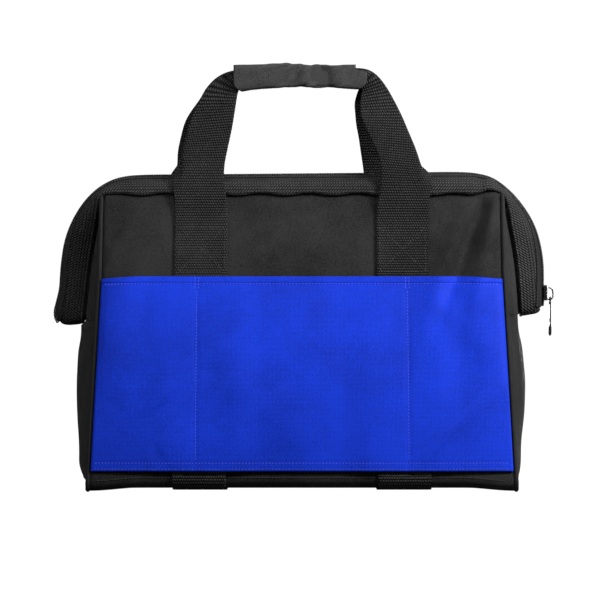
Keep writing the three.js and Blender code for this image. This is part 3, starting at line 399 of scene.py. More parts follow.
def panel_depth(x, z):
    """Distance of a panel from the bag's middle plane, before its folds."""
    up = z / SEAM_HEIGHT
    outwards = np.clip(np.abs(x) / half_width(z), 0, 1)
    rim_here = HALF_RIM * mix(1, 1.14, smooth((outwards - 0.75) / 0.25))
    belly = PANEL_CROWN * np.sin(math.pi * np.clip(up, 0, 1)) * (1 - 0.55 * outwards**3)
    return mix(HALF_DEPTH, rim_here, up) + belly


def skin_point(x, girth, inset=0.0):
    """Point of the skin: flat base, then a quarter roll, then the panel up to the rim."""
    x, girth = np.broadcast_arrays(np.asarray(x, float), np.asarray(girth, float))
    side = np.where(girth < 0, -1.0, 1.0)
    along = np.abs(girth)
    foot = base_height(x, HALF_DEPTH) + inset
    roll_top = foot + BASE_ROUND
    turned = np.clip((along - BASE_HALF) / ROLL_LENGTH, 0, 1)
    outer = panel_depth(x, roll_top) - inset
    roll_y = ((1 - turned) ** 2 * BASE_HALF
              + 2 * turned * (1 - turned) * (HALF_DEPTH - inset) + turned**2 * outer)
    roll_z = foot + BASE_ROUND * turned**2
    z = roll_top + (along - PANEL_START)
    settle = smooth(z / 60) * smooth((SEAM_HEIGHT + 12 - z) / 24)
    folds = np.where(side < 0, folds_at(FRONT_FOLDS, x, z), folds_at(BACK_FOLDS, x, z))
    near_seam = smooth((half_width(z) - np.abs(x)) / 9)
    panel_y = panel_depth(x, z) + folds * settle * near_seam - inset
    on_base = along <= BASE_HALF
    on_roll = (along > BASE_HALF) & (along < PANEL_START)
    y = np.where(on_base, along, np.where(on_roll, roll_y, panel_y))
    height = np.where(on_base, base_height(x, along) + inset, np.where(on_roll, roll_z, z))
    return np.stack([x, side * y, height], axis=-1)


def girth_at(x, z):
    """Girth of the panel's point at a height."""
    return PANEL_START + z - (base_height(x, HALF_DEPTH) + BASE_ROUND)


# %% [markdown]
# ## The closed mouth
# In use the mouth gapes the whole length of the bag. Zipped shut, its two sides meet in a
# ridge that runs along the top and down over each end as a drooping ear. Two short tables
# give, row by row, where the ridge and the webbing's seam are.

# %% Measures of the mouth
MOUTH_HEIGHT = 296
EAR_REACH = 227.6
EAR_HEIGHT = 165
RIM_WEBBING = 25
RIM_WEBBING_THICK = 1.5
RIM_GAP = 0.6
RIM_REVEAL = 2.5
RIM_TUCK = 8.5
TAPE_WIDTH = 7
TAPE_THICK = 1
COIL_WIDTH = 5.6
COIL_HEIGHT = 3.2
LEFT_CHAIN_END = 1.8
RIGHT_CHAIN_FOOT = 2.8
TOP_STEPS = 6

# out, up: the ridge, as shares of the ear's reach and rise. seam_out, seam_up: the seam.
# fwd, lip: shares of half the rim's depth, for the seam and for the roll beside the ridge.
RIGHT_EAR = np.array([
    (-1.01, 1.01, -1.01, 0.855, 1.00, 0.55),
    (-0.47, 0.995, -0.48, 0.855, 1.07, 0.62),
    (-0.14, 0.96, -0.20, 0.856, 1.14, 0.74),
    (0.18, 0.888, -0.02, 0.846, 1.16, 0.80),
    (0.46, 0.797, 0.09, 0.768, 1.06, 0.68),
    (0.725, 0.676, 0.17, 0.655, 0.92, 0.56),
    (0.895, 0.542, 0.26, 0.528, 0.76, 0.46),
    (0.99, 0.378, 0.35, 0.362, 0.64, 0.40),
    (1.00, 0.190, 0.41, 0.180, 0.57, 0.36),
    (1.00, 0.066, 0.44, 0.056, 0.50, 0.32),
    (0.94, 0.028, 0.455, 0.020, 0.38, 0.22),
    (0.74, 0.014, 0.46, 0.004, 0.20, 0.12),
    (0.56, 0.006, 0.46, 0.000, 0.00, 0.00),
])
LEFT_EAR = np.array([
    (-1.01, 0.99, -1.01, 0.855, 1.00, 0.55),
    (-0.45, 0.975, -0.48, 0.855, 1.07, 0.62),
    (-0.08, 0.935, -0.20, 0.856, 1.14, 0.74),
    (0.23, 0.870, -0.02, 0.846, 1.14, 0.80),
    (0.50, 0.779, 0.06, 0.766, 0.90, 0.76),
    (0.735, 0.660, 0.14, 0.650, 0.58, 0.74),
    (0.90, 0.523, 0.23, 0.512, 0.36, 0.72),
    (0.985, 0.359, 0.32, 0.344, 0.26, 0.72),
    (1.03, 0.190, 0.38, 0.190, 0.24, 0.70),
    (1.11, 0.084, 0.42, 0.084, 0.24, 0.66),
    (1.16, 0.020, 0.44, 0.035, 0.26, 0.58),
    (1.12, -0.036, 0.45, -0.008, 0.26, 0.42),
    (0.95, -0.060, 0.46, -0.034, 0.18, 0.26),
    (0.66, -0.056, 0.47, -0.042, 0.00, 0.00),
])


# %% [markdown]
# A smooth curve through the rows of the tables fills in the places between them. Across the
# rim, a cubic curve rises from the seam, rolls over the lip and ends on the ridge.

# %% Formula of the mouth
def follow(values, position):
    """Smooth curve through values at whole positions, with slopes from their neighbours."""
    position = np.asarray(position, float)
    last = len(values) - 1
    index = np.clip(np.floor(position).astype(int), 0, last - 1)
    t = position - index
    before, low, high, after = (values[np.clip(index + k, 0, last)] for k in (-1, 0, 1, 2))
    slope_in, slope_out = (high - before) / 2, (after - low) / 2
    return ((2 * t**3 - 3 * t**2 + 1) * low + (t**3 - 2 * t**2 + t) * slope_in
            + (3 * t**2 - 2 * t**3) * high + (t**3 - t**2) * slope_out)


def ear_rows(table, side):
    """The ear's shares as places: ridge x and z, seam x, z and y, and the lip's y."""
    reach, rise = EAR_REACH - HALF_TOP, MOUTH_HEIGHT - EAR_HEIGHT
    out, up, seam_out, seam_up, fwd, lip = table.T
    return np.stack([
        side * (HALF_TOP + out * reach), EAR_HEIGHT + up * rise,
        side * (HALF_TOP + seam_out * reach), EAR_HEIGHT + seam_up * rise,
        -fwd * HALF_RIM, -lip * HALF_RIM], axis=-1)


left_rows = ear_rows(LEFT_EAR, -1)[::-1]
right_rows = ear_rows(RIGHT_EAR, 1)
top_shares = np.arange(1, TOP_STEPS)[:, None] / TOP_STEPS
top_rows = mix(left_rows[-1], right_rows[0], top_shares)
MOUTH = np.vstack([left_rows, top_rows, right_rows])
MOUTH_END = len(MOUTH) - 1
LEFT_SHOULDER = len(left_rows) - 1
RIGHT_SHOULDER = MOUTH_END - (len(right_rows) - 1)
RIM_STEPS = 60


def ridge_and_seam(position):
    """Ridge point, seam point and lip depth at places along the mouth."""
    ridge_x, ridge_z, seam_x, seam_z, seam_y, lip_y = (
        follow(MOUTH[:, k], position) for k in range(6))
    ridge = np.stack([ridge_x, np.zeros_like(ridge_x), ridge_z], axis=-1)
    seam = np.stack([seam_x, seam_y, seam_z], axis=-1)
    return ridge, seam, lip_y


def rim_sections(position):
    """Cubic curve of the rim's front at each place, as points with their walked lengths."""
    ridge, seam, lip_y = ridge_and_seam(position)
    rising = seam + 0.55 * (ridge - seam) * np.array([1, 0, 1])
    lip = ridge + lip_y[:, None] * np.array([0, 1, 0])
    t = np.linspace(0, 1, RIM_STEPS + 1)[None, :, None]
    points = ((1 - t) ** 3 * seam[:, None] + 3 * (1 - t) ** 2 * t * rising[:, None]
              + 3 * (1 - t) * t**2 * lip[:, None] + t**3 * ridge[:, None])
    return points, run_lengths(points, 1)


def rim_points(position, distance):
    """Points a walked distance up from the seam: one row of distances for each place."""
    points, lengths = rim_sections(position)
    wanted = np.clip(distance, 0, lengths[:, -1:])
    below = (lengths[:, None, :] <= wanted[:, :, None]).sum(axis=2) - 1
    below = np.clip(below, 0, RIM_STEPS - 1)
    low_length = np.take_along_axis(lengths, below, 1)
    high_length = np.take_along_axis(lengths, below + 1, 1)
    share = ((wanted - low_length) / np.maximum(high_length - low_length, 1e-9))[..., None]
    low = np.take_along_axis(points, below[..., None], 1)
    high = np.take_along_axis(points, (below + 1)[..., None], 1)
    return mix(low, high, share)


print("mouth rows:", len(MOUTH), "from shoulder", LEFT_SHOULDER, "to", RIGHT_SHOULDER)

# %% [markdown]
# ## Finishes
# All the cloth is polyester, but each kind is woven differently: fine canvas, coarse strap
# webbing with rows of knots, and a binding with slanted ribs. Each weave is a node group that
# turns the flat place on the cloth into a height, built once and used by several materials,
# which take that height for the bump and as painted shade in the weave's hollows and a painted
# highlight on its crowns. A third kind of group gives what age and handling add: soft clouds
# and lint.

# %% Helper for shader formulas
class Formula:
    """Adds Math nodes to a node tree, so that a shader formula reads as nested calls."""

    def __init__(self, tree):
        self.tree = tree

    def put(self, socket, value):
        """Links a socket to another, or gives it a plain value."""
        if isinstance(value, bpy.types.NodeSocket):
            self.tree.links.new(value, socket)
        else:
            socket.default_value = value

    def __call__(self, operation, *values):
        node = self.tree.nodes.new("ShaderNodeMath")
        node.operation = operation
        for socket, value in zip(node.inputs, values):
            self.put(socket, value)
        return node.outputs[0]

    def node(self, kind, **values):
        """Any other node, with its named inputs put in place."""
        node = self.tree.nodes.new(kind)
        for name, value in values.items():
            self.put(node.inputs[name.replace("_", " ")], value)
        return node

    def hill(self, value):
        """A row of rounded hills, one for each whole number."""
        return self("ABSOLUTE", self("SINE", self("MULTIPLY", value, math.pi)))


def new_group(name, inputs, outputs):
    """An empty shader group with float or vector inputs and float outputs."""
    tree = bpy.data.node_groups.new(name, "ShaderNodeTree")
    for label, kind in inputs:
        tree.interface.new_socket(label, in_out="INPUT", socket_type=f"NodeSocket{kind}")
    for label in outputs:
        tree.interface.new_socket(label, in_out="OUTPUT", socket_type="NodeSocketFloat")
    return tree, tree.nodes.new("NodeGroupInput").outputs, tree.nodes.new("NodeGroupOutput").inputs


# %% [markdown]
# Plain weave: one thread passes over the next and under the one after. In formula, a hill
# across each thread, and a chequer that says which of the two threads lies on top.

# %% Canvas weave
canvas_weave, given, result = new_group(
    "canvas_weave", [("Flat", "Vector"), ("Pitch", "Float")], ["Height"])
f = Formula(canvas_weave)
split = f.node("ShaderNodeSeparateXYZ", Vector=given["Flat"])
warp = f("DIVIDE", split.outputs["X"], given["Pitch"])
weft = f("DIVIDE", split.outputs["Y"], given["Pitch"])
chequer = f("MODULO", f("ABSOLUTE", f("ADD", f("FLOOR", warp), f("FLOOR", weft))), 2.0)
over = f("MULTIPLY", f.hill(warp), chequer)
under = f("MULTIPLY", f.hill(weft), f("SUBTRACT", 1.0, chequer))
f.put(result["Height"], f("ADD", over, under))

# %% [markdown]
# Strap webbing shows rows of small knots across its width. Each row is one hill along the
# strap, broken into knots by a finer hill across it, and every second row is shifted by half
# a knot.

# %% Strap weave
strap_weave, given, result = new_group(
    "strap_weave", [("Flat", "Vector"), ("Row", "Float"), ("Knot", "Float")], ["Height"])
f = Formula(strap_weave)
split = f.node("ShaderNodeSeparateXYZ", Vector=given["Flat"])
row = f("DIVIDE", split.outputs["Y"], given["Row"])
shift = f("MULTIPLY", f("FLOOR", row), 0.5)
knot = f("ADD", f("DIVIDE", split.outputs["X"], given["Knot"]), shift)
broken = f("ADD", f("MULTIPLY", f("POWER", f.hill(knot), 2.0), 0.9), 0.1)
f.put(result["Height"], f("MULTIPLY", f("POWER", f.hill(row), 2.2), broken))

# %% [markdown]
# The binding of the mouth is a herringbone webbing: short slanted ribs in narrow columns,
# which change their slant at the middle of its width.

# %% Binding weave
binding_weave, given, result = new_group(
    "binding_weave", [("Flat", "Vector"), ("Pitch", "Float"), ("Middle", "Float")], ["Height"])
f = Formula(binding_weave)
split = f.node("ShaderNodeSeparateXYZ", Vector=given["Flat"])
from_middle = f("SUBTRACT", split.outputs["Y"], given["Middle"])
column = f("DIVIDE", from_middle, given["Pitch"])
slant = f("MULTIPLY", f("ABSOLUTE", column), 0.75)
rib = f("ADD", f("DIVIDE", split.outputs["X"], given["Pitch"]), slant)
broken = f("ADD", f("MULTIPLY", f("POWER", f.hill(f("MULTIPLY", column, 0.88)), 1.2), 0.8), 0.2)
f.put(result["Height"], f("MULTIPLY", f("POWER", f.hill(rib), 1.7), broken))

# %% [markdown]
# Dark polyester is never one even tone. Broad clouds come from how the yarn was dyed and
# pressed, and a few pale specks are lint. Both come from noise on Object coordinates, so they
# stay on the bag in every view.

# %% Clouds and lint
handled, given, result = new_group(
    "clouds_and_lint", [("Place", "Vector")], ["Cloud", "Lint"])
f = Formula(handled)
broad = f.node("ShaderNodeTexNoise", Vector=given["Place"], Scale=14.0, Detail=3.0, Roughness=0.6)
grain = f.node("ShaderNodeTexNoise", Vector=given["Place"], Scale=1300.0, Detail=2.0, Roughness=0.7)
mottled = f("ADD", f("MULTIPLY", broad.outputs["Fac"], 0.35),
            f("MULTIPLY", grain.outputs["Fac"], 0.65))
f.put(result["Cloud"], mottled)
specks = f.node("ShaderNodeTexVoronoi", Vector=given["Place"], Scale=85.0)
near = f("LESS_THAN", specks.outputs["Distance"], 0.035)
chosen = f("GREATER_THAN", f.node("ShaderNodeSeparateXYZ",
                                  Vector=specks.outputs["Color"]).outputs["X"], 0.86)
f.put(result["Lint"], f("MULTIPLY", near, chosen))

# %% [markdown]
# A cloth material mixes a dark and a light tone by the weave's height and the clouds, and
# lets the same height drive the bump. The weave's part of that mix is painted shade in the
# hollows between the threads and a painted highlight on their crowns; the clouds are the
# yarn's own uneven tone. Sheen gives the soft grey edge that polyester shows where it turns
# away from the eye.

# %% Cloth materials
def cloth_material(name, dark, light, weave, sizes, relief_mm, roughness=0.6, sheen=0.05,
                   lint=0.35, contrast=3.0, gloss=0.14):
    """A woven material. sizes are the weave group's own inputs, relief_mm its thread height."""
    material = bpy.data.materials.new(name)
    material.use_nodes = True
    tree = material.node_tree
    f = Formula(tree)
    shader = tree.nodes["Principled BSDF"]
    coordinates = tree.nodes.new("ShaderNodeTexCoord")
    woven = tree.nodes.new("ShaderNodeGroup")
    woven.node_tree = weave
    f.put(woven.inputs["Flat"], coordinates.outputs["UV"])
    for label, value in sizes.items():
        woven.inputs[label].default_value = value
    marks = tree.nodes.new("ShaderNodeGroup")
    marks.node_tree = handled
    f.put(marks.inputs["Place"], coordinates.outputs["Object"])
    height = woven.outputs["Height"]
    cloud = f("MULTIPLY", f("SUBTRACT", marks.outputs["Cloud"], 0.5), contrast)
    # Painted shade and highlight: the weave's height darkens the hollows and lightens the crowns,
    # and the clouds add random tone.
    weave_shade_and_cloud = f("ADD", f("MULTIPLY", height, 0.85), cloud)
    tones = f.node("ShaderNodeMix")
    tones.data_type = "RGBA"
    tones.clamp_factor = True
    f.put(tones.inputs[0], weave_shade_and_cloud)
    tones.inputs[6].default_value = (*dark, 1)
    tones.inputs[7].default_value = (*light, 1)
    speckled = f.node("ShaderNodeMix")
    speckled.data_type = "RGBA"
    f.put(speckled.inputs[0], f("MULTIPLY", marks.outputs["Lint"], lint))
    f.put(speckled.inputs[6], tones.outputs[2])
    speckled.inputs[7].default_value = (0.22, 0.22, 0.23, 1)
    f.put(shader.inputs["Base Color"], speckled.outputs[2])
    rough = f("ADD", roughness - 0.06, f("MULTIPLY", marks.outputs["Cloud"], 0.12))
    f.put(shader.inputs["Roughness"], rough)
    relief = f.node("ShaderNodeBump", Height=height)
    relief.inputs["Strength"].default_value = 1.0
    relief.inputs["Distance"].default_value = relief_mm * MM
    f.put(shader.inputs["Normal"], relief.outputs["Normal"])
    shader.inputs["Sheen Weight"].default_value = sheen
    shader.inputs["Sheen Roughness"].default_value = 0.45
    shader.inputs["Specular IOR Level"].default_value = gloss
    return material


CANVAS_PITCH = 0.62
black_canvas = cloth_material(
    "black_canvas", (0.0006, 0.0006, 0.0007), (0.030, 0.030, 0.031),
    canvas_weave, {"Pitch": CANVAS_PITCH}, 0.16, contrast=9.0)
gusset_canvas = cloth_material(
    "gusset_canvas", (0.002, 0.002, 0.0022), (0.040, 0.040, 0.041),
    canvas_weave, {"Pitch": CANVAS_PITCH}, 0.12, contrast=4.2)
piping_cloth = cloth_material(
    "piping_cloth", (0.003, 0.003, 0.0032), (0.030, 0.030, 0.031),
    canvas_weave, {"Pitch": CANVAS_PITCH}, 0.10)
grip_canvas = cloth_material(
    "grip_canvas", (0.006, 0.006, 0.0062), (0.082, 0.082, 0.084),
    canvas_weave, {"Pitch": CANVAS_PITCH}, 0.12, contrast=4.2)
blue_canvas = cloth_material(
    "blue_canvas", (0.0010, 0.021, 0.40), (0.0060, 0.055, 0.88),
    canvas_weave, {"Pitch": 1.2}, 0.14, roughness=0.55, sheen=0.0, lint=0.1, contrast=4.2,
    gloss=0.12)
handle_webbing = cloth_material(
    "handle_webbing", (0.0004, 0.0004, 0.0005), (0.070, 0.070, 0.072),
    strap_weave, {"Row": 2.6, "Knot": 2.3}, 1.3, contrast=2.2)
rim_binding = cloth_material(
    "rim_webbing", (0.0006, 0.0006, 0.0007), (0.085, 0.085, 0.088),
    binding_weave, {"Pitch": 2.6, "Middle": RIM_WEBBING / 2}, 1.1, contrast=2.2)
tape_cloth = cloth_material(
    "zipper_tape", (0.008, 0.008, 0.0085), (0.050, 0.050, 0.052),
    strap_weave, {"Row": 0.9, "Knot": 0.9}, 0.10)
print("materials so far:", len(bpy.data.materials))

# %% [markdown]
# The coil is clear nylon dyed black, the slider is zinc painted black, and sewing thread is a
# tight twist with a soft gloss. Their relief is real geometry, so the materials stay simple:
# fine noise varies the tone, the gloss and a very shallow bump.

# %% Coil, paint and thread
HARD_RELIEF = 0.02


def hard_material(name, dark, light, roughness, scale, coat=0.0):
    """A smooth finish whose colour and gloss vary with fine noise."""
    material = bpy.data.materials.new(name)
    material.use_nodes = True
    f = Formula(material.node_tree)
    shader = material.node_tree.nodes["Principled BSDF"]
    place = material.node_tree.nodes.new("ShaderNodeTexCoord").outputs["Object"]
    noise = f.node("ShaderNodeTexNoise", Vector=place, Scale=scale, Detail=4.0)
    tones = f.node("ShaderNodeMix")
    tones.data_type = "RGBA"
    f.put(tones.inputs[0], noise.outputs["Fac"])
    tones.inputs[6].default_value = (*dark, 1)
    tones.inputs[7].default_value = (*light, 1)
    f.put(shader.inputs["Base Color"], tones.outputs[2])
    f.put(shader.inputs["Roughness"],
          f("ADD", roughness - 0.1, f("MULTIPLY", noise.outputs["Fac"], 0.2)))
    relief = f.node("ShaderNodeBump", Height=noise.outputs["Fac"])
    relief.inputs["Strength"].default_value = 0.4
    relief.inputs["Distance"].default_value = HARD_RELIEF * MM
    f.put(shader.inputs["Normal"], relief.outputs["Normal"])
    shader.inputs["Coat Weight"].default_value = coat
    return material


coil_nylon = hard_material("coil_nylon", (0.016, 0.016, 0.017), (0.034, 0.034, 0.036), 0.38, 600)
black_paint = hard_material(
    "black_paint", (0.008, 0.008, 0.009), (0.018, 0.018, 0.019), 0.36, 900, coat=0.3)
black_thread = hard_material(
    "black_thread", (0.018, 0.018, 0.019), (0.050, 0.050, 0.052), 0.6, 2400)
blue_thread = hard_material(
    "blue_thread", (0.030, 0.075, 0.92), (0.100, 0.160, 1.00), 0.6, 2400)

# %% [markdown]
# ## The body canvas
# Front, base and back are one length of canvas. Its grid follows the girth from the rim at
# the front, round the base, to the rim at the back. The last two millimetres beside the
# piping turn inwards, which gives the dark line that every piped seam has.

# %% Body
BODY_COLUMNS = 150
PANEL_STEP = 4.0
EDGE_TURN = 1.5
EDGE_REACH = 2.4

shoulders = np.linspace(LEFT_SHOULDER - 4, RIGHT_SHOULDER + 4, 600)
shoulder_x = follow(MOUTH[:, 2], shoulders)


def mouth_at(x):
    """Place along the mouth where the seam has a given x."""
    return np.interp(x, shoulder_x, shoulders)


def body_half(sign):
    """One panel with its roll and half the base, from the rim tuck to the base's middle."""
    shares = np.linspace(-1, 1, BODY_COLUMNS)
    top_x = shares * (HALF_TOP - GAP)
    tuck = np.linspace(RIM_TUCK, 0, 5)
    rim = rim_points(mouth_at(top_x), np.repeat(tuck[None], BODY_COLUMNS, axis=0))
    rim = rim.transpose(1, 0, 2) * np.array([1, -sign, 1])
    heights = np.arange(SEAM_HEIGHT - 4, FLOOR_CLOTH + BASE_LIFT + BASE_ROUND, -PANEL_STEP)
    z = np.repeat(heights[:, None], BODY_COLUMNS, axis=1)
    x = shares * half_width(z)
    panel = skin_point(x, sign * girth_at(x, z))
    girths = np.concatenate([np.linspace(PANEL_START, BASE_HALF, 9)[:-1],
                             np.linspace(BASE_HALF, 0, 18)])
    low_x = shares * np.ones((len(girths), 1)) * HALF_BASE
    low = skin_point(low_x, sign * girths[:, None])
    grid = np.concatenate([rim, panel, low])
    edge = smooth((np.abs(shares) * HALF_TOP - (HALF_TOP - EDGE_REACH)) / EDGE_REACH)
    grid[:, :, 1] -= sign * EDGE_TURN * edge * smooth(grid[:, :, 2] / 30)
    return grid


front_half = body_half(-1)
back_half = body_half(1)[::-1]
body_grid = np.concatenate([front_half, back_half[1:]])
body_flat = np.stack([body_grid[:, :, 0], run_lengths(body_grid, 0)], axis=-1)
body = cloth_piece("bag_body", body_grid[:, ::-1], body_flat[:, ::-1], black_canvas, CLOTH, -1)
finish_piece(body, replaces=["body_wrap"])

# %% [markdown]
# ## The end panels
# Each end is a trapezoid that bellies out between the two piped seams, and opens above into
# the drooping ear. Between the front edge and the middle, the cloth moves outwards quickly
# at first and then levels off, so the end looks filled. A fan of soft pleats runs down from
# the corner of the mouth, deepest near the piping.

# %% End panels
PIPING_WIDTH = 3.4
PIPING_INSET = 1
END_PANEL_INSET = 3.2
BELLY_UP = np.array([0.00, 0.05, 0.12, 0.24, 0.42, 0.60, 0.80, 1.00])
BELLY_OUT = np.array([0.05, 0.42, 0.56, 0.62, 0.88, 1.00, 0.92, 0.72])
# Millimetres that the left end stands out more than the right one, at the same heights.
LEFT_FULLER = np.array([0.0, 2.6, 4.2, 3.8, 2.2, 1.8, 3.2, 4.6])
EAR_HOOD_ROWS = 5
END_ACROSS = 34

# Columns of a pleat. across: share from the piping to the middle of the end, spread: how far
# it moves towards the middle over the full height, wide: its reach, deep: millimetres
# outwards, start: share of the height where it begins.
END_PLEATS = [
    (0.040, 0.10, 0.030, 1.6, 0.35),
    (0.075, 0.20, 0.035, -2.0, 0.35),
    (0.160, 0.28, 0.070, 1.6, 0.25),
    (0.500, 0.10, 0.110, -1.8, 0.30),
]


def end_edge(side, z):
    """Edge of the end panel at a height, just inside the piping, at the front."""
    x = half_width(z) + PIPING_WIDTH / 2
    foot = FLOOR_CLOTH + END_PANEL_INSET
    roll_top = foot + BASE_ROUND
    turned = np.sqrt(np.clip((z - foot) / BASE_ROUND, 0, 1))
    girth = np.where(z < roll_top, BASE_HALF + turned * ROLL_LENGTH, PANEL_START + z - roll_top)
    point = skin_point(x, -girth - 1e-6, END_PANEL_INSET)
    return np.stack([side * x, point[..., 1], z], axis=-1)


# %% [markdown]
# The grid of half an end has two stretches of rows. The lower one ends on a line down the
# middle of the end, which bellies out; the upper one ends on the seam of the ear.

# %% Half an end panel
def end_panel_grid(side):
    """Half an end panel: rows from the floor up to the shoulder, columns from edge to middle."""
    foot_row, towards_top = (0, 1) if side < 0 else (MOUTH_END, -1)
    foot_out = abs(follow(MOUTH[:, 2], foot_row))
    foot_z = follow(MOUTH[:, 3], foot_row)
    up = np.concatenate([np.linspace(0, 0.15, 14), np.linspace(0.15, 0.97, 52)[1:]])
    low_z = mix(FLOOR_CLOTH + END_PANEL_INSET, foot_z, up)
    belly = np.interp(up, BELLY_UP, BELLY_OUT)
    belly = np.convolve(np.pad(belly, 3, mode="edge"), np.ones(7) / 7, mode="valid")
    belly[up < 0.05] = np.interp(up[up < 0.05], BELLY_UP, BELLY_OUT)
    free = half_width(low_z) + PIPING_WIDTH / 2 + GUSSET_CROWN * belly
    fuller = np.interp(up, BELLY_UP, LEFT_FULLER) if side < 0 else 0
    low_out = mix(free, foot_out, smooth((up - 0.8) / 0.2)) + fuller
    low_inner = np.stack([side * low_out, np.zeros_like(low_z), low_z], axis=-1)
    hood = (len(left_rows) if side < 0 else len(right_rows)) - EAR_HOOD_ROWS
    places = foot_row + towards_top * np.linspace(0, hood, 60)
    _, seam, _ = ridge_and_seam(places)
    inner = np.concatenate([low_inner, seam])
    edge = end_edge(side, inner[:, 2])
    exponent = np.concatenate([np.full(len(up), 2.5), np.full(len(places), 2.1)])
    across = np.linspace(0, 1, END_ACROSS) ** 1.25
    outward = 1 - (1 - across) ** exponent[:, None]
    x = mix(edge[:, None, 0], inner[:, None, 0], outward)
    y = mix(edge[:, None, 1], inner[:, None, 1], across)
    z = mix(edge[:, None, 2], inner[:, None, 2], across)
    height = inner[:, None, 2] / SEAM_HEIGHT
    pleats = np.zeros_like(x)
    for place, spread, wide, deep, start in END_PLEATS:
        fade = smooth((height - start) / 0.3) * smooth((1.03 - height) / 0.12)
        pleats += deep * bump(across, place + spread * (1 - height), wide) * fade
    soften = smooth(across / 0.03) * smooth((1 - across) / 0.15)
    x = x + side * pleats * soften
    tuck_share = np.linspace(0, 1, 5)[None, 1:]
    _, lengths = rim_sections(places)
    tuck = rim_points(places, np.minimum(tuck_share * RIM_TUCK, tuck_share * lengths[:, -1:]))
    grid = np.stack([x, y, z], axis=-1)
    return grid, tuck, len(up)


# %% Both end panels
def end_panel(side, name, node):
    """The whole end: its grid, mirrored to the back, and the rim tuck on both sides."""
    grid, tuck, start = end_panel_grid(side)
    whole = np.concatenate([grid, grid[:, -2::-1] * TO_BACK], axis=1)
    front = np.concatenate([grid[start:, -1:], tuck], axis=1)
    surfaces = [whole, front, front[:, ::-1] * TO_BACK]
    surfaces = [surface if side > 0 else surface[:, ::-1] for surface in surfaces]
    flats = [surface[..., 1:] for surface in surfaces]
    piece = joined_piece(name, surfaces, gusset_canvas, flats)
    weld = piece.modifiers.new("weld", "WELD")
    weld.merge_threshold = 0.05 * MM
    add_wall(piece, CLOTH, -1)
    finish_piece(piece, replaces=[node])


end_panel(-1, "end_left", "end_panel_left")
end_panel(1, "end_right", "end_panel_right")

# %% [markdown]
# ## The piping
# A cord in a folded strip of canvas is sewn into each seam between a panel and an end. It is
# a round section carried along the seam, with a slight pucker at every few stitches.

# %% Piping
PUCKER_LENGTH = 7.0
PUCKER_DEPTH = 0.10
PIPING_WALL = 0.4


def carried_round(path, radius, sides, outwards=None):
    """A round section carried along a path: a ring of points at each place, across the path."""
    along = unit(np.gradient(path, axis=0))
    lead = np.array([0.0, 1.0, 0.0]) if outwards is None else outwards
    first = unit(lead - along * (along * lead).sum(axis=1, keepdims=True))
    second = np.cross(first, along)
    angle = np.linspace(0, 2 * math.pi, sides, endpoint=False)[None, :, None]
    ring = first[:, None] * np.cos(angle) + second[:, None] * np.sin(angle)
    return path[:, None] + ring * np.reshape(radius, (-1, 1, 1))


def round_piece(name, rings, material):
    """Rings of points as one tube with a thin wall."""
    rows, sides = rings.shape[:2]
    walked = run_lengths(rings, 0)
    round_mm = np.linspace(0, 1, sides) * np.linalg.norm(rings[0, 0] - rings[0, sides // 2]) * 3
    flat = np.stack([np.broadcast_to(round_mm, walked.shape), walked], axis=-1)
    piece = mesh_piece(name, rings, grid_faces(rows, sides, close_columns=True), flat, material)
    return add_wall(piece, PIPING_WALL, -1)


def piping_path(side):
    """Middle of the piping, from the front corner of the rim under the base to the back."""
    heights = np.arange(280, FLOOR_CLOTH + BASE_ROUND + 2, -3.0)
    girths = np.concatenate([girth_at(HALF_BASE, heights),
                             np.linspace(PANEL_START, BASE_HALF, 12), np.linspace(92, 4, 24)])
    girths = np.concatenate([-girths, girths[::-1]])
    path = skin_point(HALF_BASE, girths, PIPING_INSET)
    path[:, 0] = side * (half_width(path[:, 2]) + PIPING_WIDTH / 2 + GAP)
    return path


for side, name, node in ((-1, "piping_cord_left", "piping_left"),
                         (1, "piping_cord_right", "piping_right")):
    path = piping_path(side)
    walked = line_lengths(path)
    radius = PIPING_WIDTH / 2 - PUCKER_DEPTH * (1 + np.cos(walked / PUCKER_LENGTH * 2 * math.pi))
    rings = carried_round(path, radius, 12, np.array([1.0, 0, 0]))
    finish_piece(round_piece(name, rings, piping_cloth), replaces=[node])
    print("piping in mm:", round(float(walked[-1])))

# %% [markdown]
# ## The webbing that binds the mouth
# One strip of herringbone webbing goes all round the mouth and closes at the foot of each
# ear. Its front half is a grid on the rim's formula; the back half is the same grid mirrored,
# and the two join at the feet. Along its lower edge the stitching pulls it into small waves,
# and near the right shoulder that edge lifts and a crease crosses the strip.

# %% Measures of the binding
RIM_PLACES = 520
RIM_ACROSS = 14
WAVE_LENGTH = 46.0
WAVE_DEPTH = 0.9
LIFT_X = 179
LIFT_REACH = 11
LIFT_RISE = 3.2
FOLD_X = 166
FOLD_LEAN = 0.35
FOLD_DEEP = 1.8
FOLD_REACH = 3.2
RIGHT_CHAIN_END = MOUTH_END - RIGHT_CHAIN_FOOT


def rounded_ring_normals(ring):
    """Normals of a grid whose last row joins its first."""
    padded = np.concatenate([ring[-3:], ring, ring[:3]])
    return surface_normals(padded)[3:-3]


def even_places(count, low=0.0, high=float(MOUTH_END)):
    """Places along the mouth that are evenly spaced in millimetres along the ridge."""
    fine = np.linspace(low, high, 4000)
    ridge, seam, _ = ridge_and_seam(fine)
    walked = line_lengths((ridge + seam) / 2)
    return np.interp(np.linspace(0, walked[-1], count), walked, fine)


